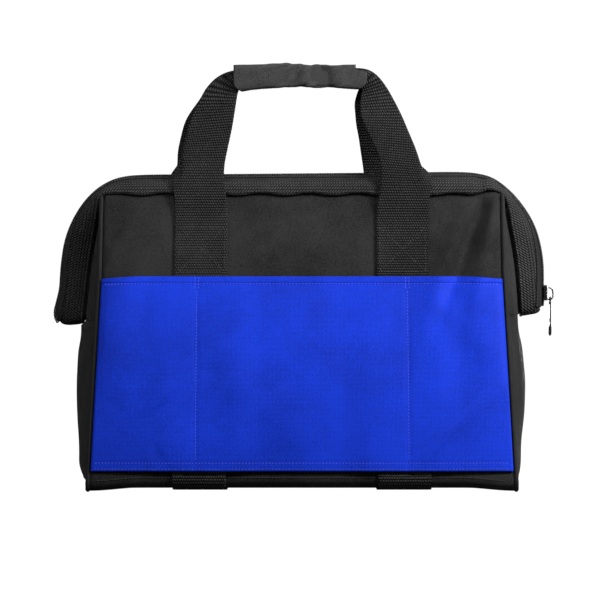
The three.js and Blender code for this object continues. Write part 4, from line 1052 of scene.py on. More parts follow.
# %% Edges of the binding
places = even_places(RIM_PLACES)
_, rim_lengths = rim_sections(places)
total = rim_lengths[:, -1]
ridge, seam, _ = ridge_and_seam(places)
walked_rim = line_lengths((ridge + seam) / 2)
on_top = smooth((places - LEFT_SHOULDER + 2) / 2) * smooth((RIGHT_SHOULDER + 2 - places) / 2)
waves = WAVE_DEPTH * np.sin(walked_rim / WAVE_LENGTH * 2 * math.pi) * on_top
lifted = LIFT_RISE * bump(seam[:, 0], LIFT_X, LIFT_REACH)
low_edge = np.minimum(RIM_REVEAL + waves + lifted, total * 0.4)
closing = smooth((LEFT_CHAIN_END - places) / 0.4) + smooth((places - RIGHT_CHAIN_END) / 0.4)
room = mix(total - COIL_WIDTH / 2 - 3 * GAP, total, closing)
high_edge = np.minimum(RIM_REVEAL + RIM_WEBBING, room)
across = np.linspace(0, 1, RIM_ACROSS)[None]
binding_across = mix(low_edge[:, None], high_edge[:, None], across)
widest = float((high_edge - low_edge).max())
print("half of the binding in mm:", round(float(walked_rim[-1])), "by", round(widest, 1))

# %% Binding
front_strip = rim_points(places, binding_across)
ring = np.concatenate([front_strip, front_strip[-2:0:-1] * TO_BACK])
normals = rounded_ring_normals(ring)
outward = np.sign((normals[RIM_PLACES // 2, RIM_ACROSS // 2] * np.array([0, -1, 0])).sum())
outward_normals = outward * normals
binding_middle = RIM_GAP + RIM_WEBBING_THICK / 2
fold_x = FOLD_X + FOLD_LEAN * (front_strip[..., 2] - SEAM_HEIGHT)
on_mouth = smooth((places - LEFT_SHOULDER) / 1.5)[:, None]
fold = FOLD_DEEP * on_mouth * (
    0.7 * bump(front_strip[..., 0], fold_x + 9, 5)
    - bump(front_strip[..., 0], fold_x, FOLD_REACH))
fold = np.concatenate([np.maximum(fold, -0.5), 0 * fold[-2:0:-1]])
binding_grid = ring + outward_normals * (binding_middle + fold[..., None])
binding_walked = np.concatenate([walked_rim, 2 * walked_rim[-1] - walked_rim[-2:0:-1]])
binding_v = np.concatenate([binding_across, binding_across[-2:0:-1]]) - RIM_REVEAL
binding_flat = np.stack(
    [np.repeat(binding_walked[:, None], RIM_ACROSS, axis=1), binding_v], axis=-1)
flip = slice(None) if outward > 0 else slice(None, None, -1)
binding = cloth_piece("mouth_binding", binding_grid[:, flip], binding_flat[:, flip],
                      rim_binding, RIM_WEBBING_THICK, 0, close_rows=True)
finish_piece(binding, replaces=["rim_webbing"])

# %% [markdown]
# ## The zipper's tapes
# A tape runs along each side of the ridge, over the edge of the webbing, and holds half of
# the coil. It shows as a plain narrow strip on the ears.

# %% Tapes
TAPE_WALL = 0.6
TAPE_LIFT = 0.15
TAPE_PLACES = 460
TAPE_ACROSS = 7

tape_places = even_places(TAPE_PLACES, LEFT_CHAIN_END + 0.1, RIGHT_CHAIN_END - 0.1)
_, tape_lengths = rim_sections(tape_places)
tape_edge = tape_lengths[:, -1] - COIL_WIDTH / 2 - GAP
tape_taper = smooth((tape_places - LEFT_CHAIN_END) / 0.9) * 0.75 + 0.25
tape_share = np.linspace(1, 0, TAPE_ACROSS)[None]
tape_across = tape_edge[:, None] - TAPE_WIDTH * tape_taper[:, None] * tape_share
tape_strip = rim_points(tape_places, tape_across)
tape_normals = surface_normals(tape_strip) * outward
tape_middle = RIM_GAP + RIM_WEBBING_THICK + TAPE_LIFT + TAPE_WALL / 2
tape_grid = tape_strip + tape_normals * tape_middle
tape_walked = run_lengths(tape_grid, 0)
tape_flat = np.stack([tape_across - tape_edge[:, None], tape_walked], axis=-1)
for name, node, sign in (("tape_front", "zipper_tape_front", 1),
                         ("tape_back", "zipper_tape_back", -1)):
    grid = tape_grid * np.array([1, sign, 1])
    flip = slice(None) if outward * sign > 0 else slice(None, None, -1)
    tape = cloth_piece(name, grid[:, flip], tape_flat[:, flip], tape_cloth, TAPE_WALL, 0)
    finish_piece(tape, replaces=[node])

# %% [markdown]
# ## The coil
# The zipper's teeth are two nylon wires, each bent into a spiral and sewn to its tape, whose
# turns mesh. Each is a helix round its own half of the chain, half a turn out of step.

# %% Coil
COIL_PITCH = 2.3
WIRE_RADIUS = 0.62
TURN_STEPS = 9
WIRE_SIDES = 5
CHAIN_PLACES = 3000
COIL_MESH = 0.1
COIL_INWARDS = 0.25
COIL_CENTRE = 2 * RIM_GAP + RIM_WEBBING_THICK + TAPE_THICK / 2

chain_places = even_places(CHAIN_PLACES, LEFT_CHAIN_END + 0.1, RIGHT_CHAIN_END - 0.1)
chain_line, _, _ = ridge_and_seam(chain_places)
chain_walked = line_lengths(chain_line)
chain_along = unit(np.gradient(chain_line, axis=0))
chain_out = np.stack([-chain_along[:, 2], 0 * chain_along[:, 1], chain_along[:, 0]], axis=-1)
turns = int(chain_walked[-1] / COIL_PITCH)


def coil_half(side):
    """One spiral: a circle squashed into the chain's half width, pulled out along the chain."""
    angle = np.linspace(0, turns * 2 * math.pi, turns * TURN_STEPS + 1)
    walked = angle / (2 * math.pi) * COIL_PITCH
    line = along_line(walked, chain_walked, chain_line)
    out = along_line(walked, chain_walked, chain_out)
    reach = COIL_WIDTH / 4 + COIL_MESH
    turned = angle + (0 if side < 0 else math.pi)
    aside = side * (COIL_WIDTH / 4 - COIL_INWARDS) + reach * np.cos(turned)
    rise = COIL_CENTRE + (COIL_HEIGHT / 2 - WIRE_RADIUS) * np.sin(turned)
    path = line + out * rise[:, None]
    path[:, 1] += aside
    return carried_round(path, WIRE_RADIUS, WIRE_SIDES)


coil_rings = [coil_half(side) for side in (-1, 1)]
coil = joined_piece("coil_teeth", coil_rings, coil_nylon, close_columns=True)
finish_piece(coil, replaces=["zipper_coil"])
print("turns of the coil:", turns)

# %% [markdown]
# ## The handle straps
# Each handle is one webbing strap. It starts under the base, runs up the panel, where it is
# sewn down, leaves it at the rim and rises to the grip. On the way up its outer edge folds
# behind, so that a strap 49 mm wide passes into a grip half that height. Short tables give
# where a leg's outer and inner edges are as it rises, and how far the fold has turned: one
# for the left legs, one for the front's right leg and one for the back's.

# %% Measures of the straps
STRAP_WIDTH = 49
STRAP_SPACING = 190
HANDLE_RISE = 124
BACK_HANDLE_SHIFT = -5.5
FOLD_RADIUS = 1
TURN_LENGTH = math.pi * FOLD_RADIUS
SEWN_TOP = 264
STRAP_EASE = 1.2
STRAP_FOOT_DEPTH = HALF_RIM + RIM_GAP + GAP + RIM_WEBBING_THICK + STRAP_THICK / 2 + STRAP_EASE
STRAP_TOP_DEPTH = GAP / 2 + STRAP_THICK / 2 + 2 * FOLD_RADIUS
# Shares of the handle's rise: where the two handles meet, where the back handle's sideways
# shift ends, and how far below that it starts to fade.
MEETING_UP = 0.83
SHIFT_END = 0.84
SHIFT_FADE = 0.3
# Gathers of the left legs near the grip: their depth and the width of one radian of their
# sine in millimetres, and the share of the rise above which they start.
GATHER_DEPTH = 0.35
GATHER_WIDTH = 2.1
GATHER_UP = 0.80

# outer and inner edge: out as a share of half the straps' spacing, up as a share of the
# handle's rise above the rim seam. fold: share of a half turn of the folded edge.
LEFT_TURN = np.array([
    (1.250, 0.00, 0.758, 0.00, 0.00), (1.215, 0.13, 0.780, 0.13, 0.10),
    (1.205, 0.25, 0.776, 0.25, 0.50), (1.195, 0.37, 0.745, 0.38, 0.85),
    (1.155, 0.50, 0.705, 0.53, 1.00), (1.105, 0.63, 0.680, 0.65, 1.00),
    (1.035, 0.74, 0.662, 0.74, 1.00), (0.955, 0.85, 0.650, 0.80, 1.00),
    (0.850, 0.93, 0.635, 0.835, 1.00), (0.720, 0.975, 0.600, 0.85, 1.00),
    (0.560, 0.99, 0.540, 0.862, 1.00), (0.280, 1.00, 0.280, 0.884, 1.00),
])
RIGHT_TURN = np.array([
    (1.250, 0.00, 0.765, 0.00, 0.00), (1.235, 0.13, 0.790, 0.14, 0.10),
    (1.190, 0.25, 0.780, 0.28, 0.50), (1.140, 0.37, 0.725, 0.40, 0.85),
    (1.070, 0.50, 0.650, 0.52, 1.00), (1.000, 0.63, 0.595, 0.63, 1.00),
    (0.930, 0.74, 0.588, 0.72, 1.00), (0.850, 0.85, 0.600, 0.80, 1.00),
    (0.765, 0.935, 0.605, 0.868, 1.00), (0.670, 0.985, 0.580, 0.880, 1.00),
    (0.540, 1.00, 0.520, 0.884, 1.00), (0.280, 1.005, 0.280, 0.886, 1.00),
])
BACK_RIGHT_TURN = np.array([
    (1.241, 0.00, 0.742, 0.00, 0.00), (1.195, 0.13, 0.700, 0.13, 0.05),
    (1.153, 0.25, 0.677, 0.25, 0.20), (1.111, 0.37, 0.653, 0.37, 0.45),
    (1.063, 0.50, 0.626, 0.50, 0.75), (0.990, 0.63, 0.587, 0.63, 1.00),
    (0.907, 0.74, 0.550, 0.73, 1.00), (0.842, 0.85, 0.556, 0.80, 1.00),
    (0.765, 0.935, 0.578, 0.858, 1.00), (0.670, 0.985, 0.568, 0.877, 1.00),
    (0.540, 1.00, 0.515, 0.884, 1.00), (0.280, 1.005, 0.280, 0.886, 1.00),
])
FRONT_PLY = np.linspace(0, 1, 22)
TURN_PLY = np.linspace(0, 1, 7)[1:]
BACK_PLY = np.linspace(0, 1, 12)[1:]

# %% [markdown]
# A free leg is worked out in its own flat width: places along it lie straight up to the
# fold, bend round a small circle there, and run back behind. The sewn part follows the skin.

# %% Free leg of a strap
def strap_leg(table, side, shift, steps=150):
    """The free leg: for each place in the table, flat to the fold, a half turn, then back."""
    position = np.linspace(0, len(table) - 1, steps)
    outer_out, outer_up, inner_out, inner_up, fold = (
        follow(table[:, k], position) for k in range(5))
    fold = np.clip(fold, 0, 1)

    def edge(out, up):
        """Points of an edge from its two columns, coming forward as the handles meet."""
        fade = smooth((SHIFT_END - up) / SHIFT_FADE)
        depth = mix(STRAP_FOOT_DEPTH, STRAP_TOP_DEPTH, np.clip(up / MEETING_UP, 0, 1))
        x = side * out * STRAP_SPACING / 2 + shift * fade
        return np.stack([x, -depth, SEAM_HEIGHT + up * HANDLE_RISE], axis=-1)

    inner, outer = edge(inner_out, inner_up), edge(outer_out, outer_up)
    outer[:, 1] = mix(outer[:, 1], inner[:, 1], fold)
    span = np.linalg.norm(outer - inner, axis=1)
    folded_in = np.where(fold < 1, mix(TURN_LENGTH, FOLD_RADIUS, fold), FOLD_RADIUS)
    front = span - folded_in
    width = np.minimum(STRAP_WIDTH, 2 * front + TURN_LENGTH)
    last = np.maximum(width, front + TURN_LENGTH + 0.5)
    toward = (outer - inner) / span[:, None]
    places = np.concatenate([
        front[:, None] * FRONT_PLY,
        front[:, None] + TURN_LENGTH * TURN_PLY,
        front[:, None] + TURN_LENGTH + (last - front - TURN_LENGTH)[:, None] * BACK_PLY], axis=1)
    angle = np.maximum(fold * math.pi, 0.02)[:, None]
    radius = TURN_LENGTH / angle
    turned = np.clip((places - front[:, None]) / TURN_LENGTH, 0, 1) * angle
    past = np.maximum(0, places - front[:, None] - TURN_LENGTH)
    ahead = np.minimum(places, front[:, None]) + radius * np.sin(turned) + past * np.cos(turned)
    behind = radius * (1 - np.cos(turned)) + past * np.sin(turned)
    grid = inner[:, None] + toward[:, None] * ahead[..., None]
    grid[..., 1] += behind
    return grid, places


# %% Sewn part of a strap
def strap_sewn(side, shift):
    """The sewn part: from the base's middle up the panel, lying on the skin."""
    flat_width = STRAP_WIDTH - TURN_LENGTH
    places = np.concatenate([flat_width * FRONT_PLY, flat_width + TURN_LENGTH * TURN_PLY,
                             STRAP_WIDTH + 0.5 * BACK_PLY])
    x = shift + side * (STRAP_SPACING / 2 - STRAP_WIDTH / 2 + places)
    heights = np.arange(18, SEWN_TOP, 2.5)
    base = np.concatenate([np.linspace(GAP / 2, BASE_HALF, 40),
                           np.linspace(BASE_HALF, PANEL_START, 10)[1:]])
    girths = np.concatenate([np.repeat(base[:, None], len(x), axis=1),
                             girth_at(x[None], heights[:, None])])
    x_grid = np.broadcast_to(x, girths.shape)
    here = skin_point(x_grid, -girths)
    climb = skin_point(x_grid, -girths - 1) - here
    out = unit(np.stack([np.zeros_like(x_grid), -climb[..., 2], climb[..., 1]], axis=-1))
    grid = here + out * (GAP + STRAP_THICK / 2)
    return grid, np.broadcast_to(places, girths.shape)


# %% Whole straps
def eased(grid, first, last, passes):
    """The grid with some of its rows evened out against their neighbours, several times."""
    share = np.zeros(len(grid))
    share[first:last] = np.sin(np.linspace(0, math.pi, last - first)) ** 0.5
    for _ in range(passes):
        even = (grid[:-2] + grid[2:]) / 2
        grid[1:-1] = mix(grid[1:-1], even, share[1:-1, None, None] * 0.5)
    return grid


def strap_side(table, side, shift):
    """Sewn part and free leg as one grid, eased where the strap leaves the panel."""
    sewn, sewn_places = strap_sewn(side, shift)
    leg, leg_places = strap_leg(table, side, shift)
    bridge = np.linspace(0, 1, 6)[1:-1, None, None]
    joined = np.concatenate([sewn, mix(sewn[-1:], leg[:1], bridge), leg])
    places = np.concatenate([sewn_places, np.repeat(leg_places[:1], 4, axis=0), leg_places])
    middle = len(sewn) + 2
    return eased(joined, middle - 12, middle + 14, 14), places


def handle_strap(name, node, shift, sign, right_turn):
    """A whole strap from the base's middle to the grip and down the other side."""
    left, left_places = strap_side(LEFT_TURN, -1, shift)
    right, right_places = strap_side(right_turn, 1, shift)
    gathers = GATHER_DEPTH * np.sin(left_places / GATHER_WIDTH)
    rising = smooth((left[..., 2] - (SEAM_HEIGHT + GATHER_UP * HANDLE_RISE)) / 12)
    left[..., 1] += gathers * rising
    grid = np.concatenate([left, right[::-1]])
    places = np.concatenate([left_places, right_places[::-1]])
    flat = np.stack([places, run_lengths(grid, 0)[:, :1] + 0 * places], axis=-1)
    grid = grid * np.array([1, sign, 1])
    flip = slice(None, None, -1) if sign > 0 else slice(None)
    strap = cloth_piece(name, grid[:, flip], flat[:, flip], handle_webbing, STRAP_THICK, 0)
    finish_piece(strap, replaces=[node])


handle_strap("strap_front", "handle_strap_front", 0, 1, RIGHT_TURN)
handle_strap("strap_back", "handle_strap_back", BACK_HANDLE_SHIFT, -1, BACK_RIGHT_TURN)

# %% [markdown]
# ## The grip
# A piece of canvas is wound once round both straps and its free end lies over the front. Its
# section is a rounded rectangle: the cosine and sine of a turn, each raised to a small power.
# The cloth is slack, so shallow folds run slantwise along it.

# %% Grip
GRIP_LEFT = -65.6
GRIP_RIGHT = 51.6
GRIP_SKEW = 10.4
GRIP_SLANT = 8
GRIP_CLOTH = 1.6
GRIP_DEPTH = 9.4
GRIP_HEIGHT = 17.2
GRIP_FLARE = 3.4
GRIP_DROP = 3
GRIP_START = -0.02
GRIP_END = 1.19
GRIP_FLAP = 0.18
GRIP_ROUNDNESS = 0.38
GRIP_UP = 0.943


def grip_grid(turn_steps=150, length_steps=110):
    """Rows along the grip, columns round it, from under its front over the top and round."""
    share = np.linspace(-1, 1, length_steps)[:, None]
    turn = np.linspace(GRIP_START, GRIP_END, turn_steps)[None]
    layer = GRIP_CLOTH + GAP
    flap = GRIP_FLAP * np.sqrt(np.maximum(0, share))
    droop = GRIP_DROP * share**2 * np.where(share < 0, 1, 0.3)
    middle = SEAM_HEIGHT + HANDLE_RISE * GRIP_UP - droop
    wound = np.minimum(turn, GRIP_END - flap - 0.004 * (GRIP_END - turn))
    outer = layer * smooth((turn - 0.72) / 0.2)
    angle = wound * 2 * math.pi
    folds = (1.5 * np.sin(12 * share + 2.2 * angle) * bump(share, 0.35, 0.4)
             + 0.9 * np.sin(8 * share - 3 * angle + 1) * bump(share, -0.4, 0.5)
             + 0.9 * np.sin(26 * share - 5 * angle) * bump(share, 0.05, 0.45))
    folds = np.maximum(folds, -0.5) * smooth((1 - np.abs(share)) / 0.15)
    high = (GRIP_HEIGHT + GRIP_FLARE * share**2) / 2 + GRIP_CLOTH / 2 + outer + folds * 0.5
    deep = GRIP_DEPTH / 2 + GRIP_CLOTH / 2 + outer + folds
    below = smooth(-np.sin(angle))
    skewed = GRIP_RIGHT + GRIP_SKEW * smooth((turn - 0.5) / 0.35)
    x = mix(GRIP_LEFT + GRIP_SLANT * below, skewed - GRIP_SLANT * below, (share + 1) / 2)
    y = -deep * squared(np.cos(angle), GRIP_ROUNDNESS)
    z = middle + high * squared(np.sin(angle), GRIP_ROUNDNESS)
    return np.stack(np.broadcast_arrays(x, y, z), axis=-1)


grip_points = grip_grid()
grip_flat = np.stack([run_lengths(grip_points, 1)[:1] + 0 * grip_points[..., 0],
                      grip_points[..., 0]], axis=-1)
grip = cloth_piece("grip_wrap_cloth", grip_points, grip_flat, grip_canvas, GRIP_CLOTH, 0)
finish_piece(grip, replaces=["grip_wrap"])

# %% [markdown]
# ## The pocket panel
# A blue panel lies over both straps, sewn down at its sides, along its bottom and in two
# upright rows, which leave three open pockets. It is fullest between its seams and is pulled
# in along each row of stitches. Its top is folded over twice, so it ends in a rounded hem.

# %% Measures of the pocket
POCKET_TOP = 202
POCKET_BOTTOM = 20.7
POCKET_CLOTH = 1.2
POCKET_CROWN = 2.5
POCKET_SEAM = STRAP_SPACING / 2 + 4
HEM_DEPTH = 7.5
HEM_ROLL = 1.0
CORNER_DROOP = 3.4
POCKET_EASE = 0.4
POCKET_SIDE = 0.5
POCKET_COLUMNS = 201
BOTTOM_SEAM_LOW = 1.8
BOTTOM_SEAM_HIGH = 7.2

# The same six columns as the body's folds.
POCKET_FOLDS = [
    (-0.92, 0.60, 0.03, 0.20, 0.110, 2.6),
    (0.90, 0.62, -0.03, 0.22, 0.120, 3.2),
    (-0.86, 0.20, -0.20, 0.14, 0.060, -2.2),
    (-0.70, 0.24, 0.22, 0.14, 0.070, -3.8),
    (-0.62, 0.55, 0.30, 0.16, 0.120, 0.9),
    (-0.20, 0.30, -0.25, 0.20, 0.120, 0.8),
    (0.15, 0.50, 0.40, 0.20, 0.080, -0.7),
    (0.76, 0.22, 0.16, 0.12, 0.045, 2.0),
    (0.86, 0.20, 0.16, 0.12, 0.045, -1.8),
    (0.80, 0.56, -0.15, 0.12, 0.080, 0.8),
]


# %% Formula of the pocket
def pocket_lift(x, z):
    """How far the pocket stands off the skin: over the straps, and full between its seams."""
    from_strap = np.abs(np.abs(x) - STRAP_SPACING / 2) - STRAP_WIDTH / 2
    over_strap = smooth((34 - from_strap) / 30)
    layers = 2 * GAP + STRAP_THICK
    outer = np.clip((np.abs(x) - POCKET_SEAM) / (half_width(z) - POCKET_SEAM), 0, 1)
    across = np.where(np.abs(x) < POCKET_SEAM, np.cos(x / POCKET_SEAM * math.pi / 2),
                      np.sin(outer * math.pi))
    up = np.clip((z - POCKET_BOTTOM) / (POCKET_TOP - POCKET_BOTTOM), 0, 1)
    fullness = POCKET_CROWN * across * np.sin(math.pi * mix(0.1, 0.85, up))
    return mix(GAP, layers, over_strap) + POCKET_EASE + fullness


def pocket_pull(x, z):
    """Grooves that the rows of stitches pull into the cloth, shallow enough to stay clear."""
    pull = np.zeros(np.broadcast(x, z).shape)
    for seam_x in (-POCKET_SEAM, POCKET_SEAM):
        pull = pull + 0.38 * bump(x, seam_x, 2.2)
    for seam_z in (POCKET_BOTTOM + BOTTOM_SEAM_LOW, POCKET_BOTTOM + BOTTOM_SEAM_HIGH):
        pull = pull + 0.22 * bump(z, seam_z, 1.3)
    return pull + 0.25 * bump(z, POCKET_TOP - HEM_DEPTH, 1.2)


def pocket_point(x, z):
    """Outer face of the pocket panel at a place, its upper corners drooping a little."""
    near_top = smooth((z - (POCKET_TOP - 14)) / 14)
    z = z - CORNER_DROOP * near_top * smooth((np.abs(x) / half_width(z) - 0.78) / 0.34)
    point = skin_point(x, -girth_at(x, z))
    folds = folds_at(POCKET_FOLDS, x, z) * smooth((half_width(z) - np.abs(x)) / 7)
    slack = np.maximum(pocket_lift(x, z) - 2 * GAP - STRAP_THICK - POCKET_EASE, 0)
    folds = np.maximum(folds, -0.15 - 0.8 * slack)
    top_hem = 0.5 * smooth((z - (POCKET_TOP - HEM_DEPTH)) / 1.5)
    out = pocket_lift(x, z) + POCKET_CLOTH + folds + top_hem - pocket_pull(x, z)
    point[..., 1] -= out
    return point


# %% Pocket cloth
pocket_shares = np.linspace(-1, 1, POCKET_COLUMNS)
pocket_heights = np.concatenate([
    np.arange(POCKET_BOTTOM, POCKET_BOTTOM + 10, 0.9),
    np.arange(POCKET_BOTTOM + 10.5, POCKET_TOP - 11, 2.6),
    np.arange(POCKET_TOP - 10.5, POCKET_TOP - HEM_ROLL, 0.8)])
pocket_z = np.repeat(pocket_heights[:, None], POCKET_COLUMNS, axis=1)
pocket_x = pocket_shares * (half_width(pocket_z) - POCKET_SIDE)
pocket_front = pocket_point(pocket_x, pocket_z)
hem_turn = np.linspace(0, math.pi, 8)[1:, None]
top_x, top_y, top_z = pocket_front[-1].T
hem_roll = np.stack([
    top_x + 0 * hem_turn,
    top_y + HEM_ROLL * (1 - np.cos(hem_turn)),
    top_z + HEM_ROLL * np.sin(hem_turn)], axis=-1)
pocket_grid = np.concatenate([pocket_front, hem_roll])
pocket_flat = np.stack([pocket_grid[..., 0], run_lengths(pocket_grid, 0)], axis=-1)
pocket = cloth_piece("blue_pocket", pocket_grid, pocket_flat, blue_canvas, POCKET_CLOTH * 0.8, -1)
finish_piece(pocket, replaces=["pocket_panel"])

# %% [markdown]
# ## The stitches
# Thread shows wherever cloth is sewn: round the pocket panel, in the crossed boxes that hold
# the straps, and along the edges of the binding and the tapes. Each stitch is one small
# spindle that dips into the cloth at both ends. A row is laid along a line on the finished
# cloth, and one mesh holds all the rows of one thread.

# %% Helper for stitches
STITCH_PITCH = 3.1
STITCH_LENGTH = 2.1
THREAD_RADIUS = 0.44
SPINDLE_ALONG = np.array([0.0, 0.25, 0.75, 1.0])
SPINDLE_THICK = np.array([0.45, 1.0, 1.0, 0.45])
SPINDLE_RISE = np.array([-0.7, 0.45, 0.45, -0.7])
SPINDLE_SIDES = 4


def stitch_row(line, outward):
    """Points of a row of spindles along a line that lies on cloth facing outward."""
    walked = line_lengths(line)
    starts = np.arange(0.2 * STITCH_PITCH, walked[-1] - STITCH_LENGTH, STITCH_PITCH)
    at = starts[:, None] + STITCH_LENGTH * SPINDLE_ALONG
    place = along_line(at, walked, line)
    out = unit(along_line(at, walked, outward))
    along = unit(place[:, -1:] - place[:, :1])
    aside = np.cross(along, out)
    middle = place + out * (SPINDLE_RISE * THREAD_RADIUS)[None, :, None]
    angle = (np.arange(SPINDLE_SIDES) + 0.5) / SPINDLE_SIDES * 2 * math.pi
    ring = (out[:, :, None] * np.cos(angle)[:, None] + aside[:, :, None] * np.sin(angle)[:, None])
    return middle[:, :, None] + ring * (SPINDLE_THICK * THREAD_RADIUS)[None, :, None, None]


def stitches(name, rows, material):
    """All the rows of one thread as one mesh of closed spindles."""
    points = np.concatenate(rows).reshape(-1, 3)
    each = len(SPINDLE_ALONG) * SPINDLE_SIDES
    faces = grid_faces(len(SPINDLE_ALONG), SPINDLE_SIDES, close_columns=True)
    ends = np.array([[3, 2, 1, 0], [each - 4, each - 3, each - 2, each - 1]])
    faces = np.concatenate([faces, ends])
    offsets = np.arange(0, len(points), each)
    all_faces = (faces[None] + offsets[:, None, None]).reshape(-1, 4)
    piece = mesh_piece(name, points, all_faces, material=material)
    print("stitches in", name + ":", len(offsets))
    finish_piece(piece)


def line_on(surface, starts, ends, steps=160):
    """A straight line in a surface's own two measures, with the way out of the surface."""
    share = np.linspace(0, 1, steps)
    u, v = (mix(a, b, share) for a, b in zip(starts, ends))
    line = surface(u, v)
    outward = np.cross(surface(u + 0.5, v) - line, surface(u, v + 0.5) - line)
    return line, outward


# %% [markdown]
# The pocket is sewn along its hem, its two upright seams and twice along its bottom. The
# upright seams start with a short second row, where the sewer went back to lock the mouth.

# %% Stitches of the pocket
LOCK_LENGTH = 14
LOCK_APART = 1.7
SEAM_END = 3

blue_rows = []
for z in (POCKET_TOP - HEM_DEPTH, POCKET_BOTTOM + BOTTOM_SEAM_LOW,
          POCKET_BOTTOM + BOTTOM_SEAM_HIGH):
    reach = float(half_width(z)) - SEAM_END
    blue_rows.append(stitch_row(*line_on(pocket_point, (-reach, z), (reach, z), 400)))
for x in (-POCKET_SEAM, POCKET_SEAM):
    lock_end = POCKET_TOP - LOCK_LENGTH
    for aside in (-LOCK_APART, LOCK_APART):
        start, end = (x + aside, POCKET_TOP - 1), (x + aside, lock_end)
        blue_rows.append(stitch_row(*line_on(pocket_point, start, end)))
    start, end = (x, lock_end), (x, POCKET_BOTTOM + BOTTOM_SEAM_HIGH)
    blue_rows.append(stitch_row(*line_on(pocket_point, start, end)))
stitches("blue_stitches", blue_rows, blue_thread)

# %% [markdown]
# Each strap leg ends its sewn part in a box with two diagonals, the usual way to hold a
# loaded strap. The canvas under the pocket has one more row, which closes the base.

# %% Stitches of the straps and the base
BOX_LOW = 205
BOX_HIGH = 247
BOX_MARGIN = 3.0
BASE_SEAM_GIRTH = PANEL_START - 3
BASE_SEAM_END = 190


def strap_face(sign):
    """Outer face of a sewn strap, as a function of x and height, on the front or the back."""
    def place(x, z):
        """The skin's point, moved out by the gap and the strap's thickness."""
        here = skin_point(x, sign * girth_at(x, z))
        climb = skin_point(x, sign * (girth_at(x, z) + 1)) - here
        out = unit(np.stack([0 * climb[..., 0], sign * climb[..., 2], -sign * climb[..., 1]],
                            axis=-1))
        return here + out * (GAP + STRAP_THICK)
    return place


def front_skin(x, girth):
    """The front's skin at a girth, for the row that closes the base."""
    return skin_point(x, -girth)


black_rows = []
for sign, shift in ((-1, 0), (1, BACK_HANDLE_SHIFT)):
    for side in (-1, 1):
        middle = side * STRAP_SPACING / 2 + shift
        reach = STRAP_WIDTH / 2 - BOX_MARGIN
        corners = [(middle - reach, BOX_LOW), (middle + reach, BOX_LOW),
                   (middle + reach, BOX_HIGH), (middle - reach, BOX_HIGH)]
        strokes = [(0, 1), (1, 2), (2, 3), (3, 0), (0, 2), (1, 3)]
        for start, end in strokes:
            line, outward = line_on(strap_face(sign), corners[start], corners[end])
            black_rows.append(stitch_row(line, -sign * outward))
inner_strap = STRAP_SPACING / 2 - STRAP_WIDTH / 2 - 1
outer_strap = STRAP_SPACING / 2 + STRAP_WIDTH / 2 + 1
for low, high in ((-BASE_SEAM_END, -outer_strap), (-inner_strap, inner_strap),
                  (outer_strap, BASE_SEAM_END)):
    line, outward = line_on(front_skin, (low, BASE_SEAM_GIRTH), (high, BASE_SEAM_GIRTH))
    black_rows.append(stitch_row(line, outward))
print("rows on the straps and the base:", len(black_rows))

# %% [markdown]
# The binding is held near its lower edge and the tapes near their inner one, at the front
# and the back alike.

# %% Stitches of the binding and the tapes
binding_face = binding_grid + outward_normals * RIM_WEBBING_THICK / 2
tape_face = tape_grid + tape_normals * TAPE_WALL / 2
for line, out in ((binding_face[:RIM_PLACES, 1], outward_normals[:RIM_PLACES, 1]),
                  (tape_face[:, 1], tape_normals[:, 1])):
    black_rows.append(stitch_row(line, out))
    black_rows.append(stitch_row(line * TO_BACK, out * TO_BACK))
stitches("black_stitches", black_rows, black_thread)

# %% [markdown]
# ## The slider and its pull
# The slider is cast zinc with a black coat: a rounded plate with two flanges that hold the
# chain, and a hook over it, the crown. The pull hangs in the crown. Both are placed from the
# pivot, the line that the pull swings on. Bars are round sections carried along a path.

# %% Measures of the slider
SLIDER_HEIGHT = 186
SLIDER_LENGTH = 15
SLIDER_WIDTH = 8.6
SLIDER_WALL = 2.6
CROWN_LENGTH = 13
CROWN_REACH = 6.2
CROWN_BAR = 1.5
CROWN_WIDTH = 2.4
PULL_WIDTH = 8
PULL_THICK = 1.8
PULL_EYE = 6.5
slider_face = EAR_REACH + COIL_CENTRE + COIL_HEIGHT / 2 + GAP
plate_face = slider_face + SLIDER_WALL
crown_foot = SLIDER_HEIGHT - CROWN_LENGTH / 2 - 0.5
pivot = np.array([plate_face + CROWN_REACH / 2 - CROWN_BAR / 4, 0,
                  crown_foot + CROWN_BAR + GAP + PULL_THICK / 2 * math.sqrt(2)])


def smooth_path(corners, rounds):
    """A path through corners, each cut round by a curve that starts that far before it."""
    points = [corners[0]]
    for before, corner, after, radius in zip(corners, corners[1:], corners[2:], rounds):
        enter = corner + unit(before - corner) * radius
        leave = corner + unit(after - corner) * radius
        t = np.linspace(0, 1, 7)[:, None]
        points.extend((1 - t) ** 2 * enter + 2 * t * (1 - t) * corner + t**2 * leave)
    points.append(corners[-1])
    return np.array(points)


def swept_bar(path, radius, stretch=(1, 1, 1), sides=16):
    """Points of a round bar along a path, its ends drawn in; stretch widens its section."""
    rings = carried_round(path, radius, sides)
    first, last = path[:1, None], path[-1:, None]
    rings = np.concatenate([first + (rings[:1] - first) * 0.02, first + (rings[:1] - first) * 0.8,
                            rings[1:-1], last + (rings[-1:] - last) * 0.8,
                            last + (rings[-1:] - last) * 0.02])
    middle = np.concatenate([path[:1], path, path[-1:]])[:, None]
    return middle + (rings - middle) * np.array(stretch)


# %% [markdown]
# The plate and the flanges are blocks with softly rounded edges, as a casting has. A block's
# section is a superellipse, a circle whose cosine and sine are raised to a power under one,
# and the same law draws its ends in.

# %% Slider
BLOCK_POWER = 0.28


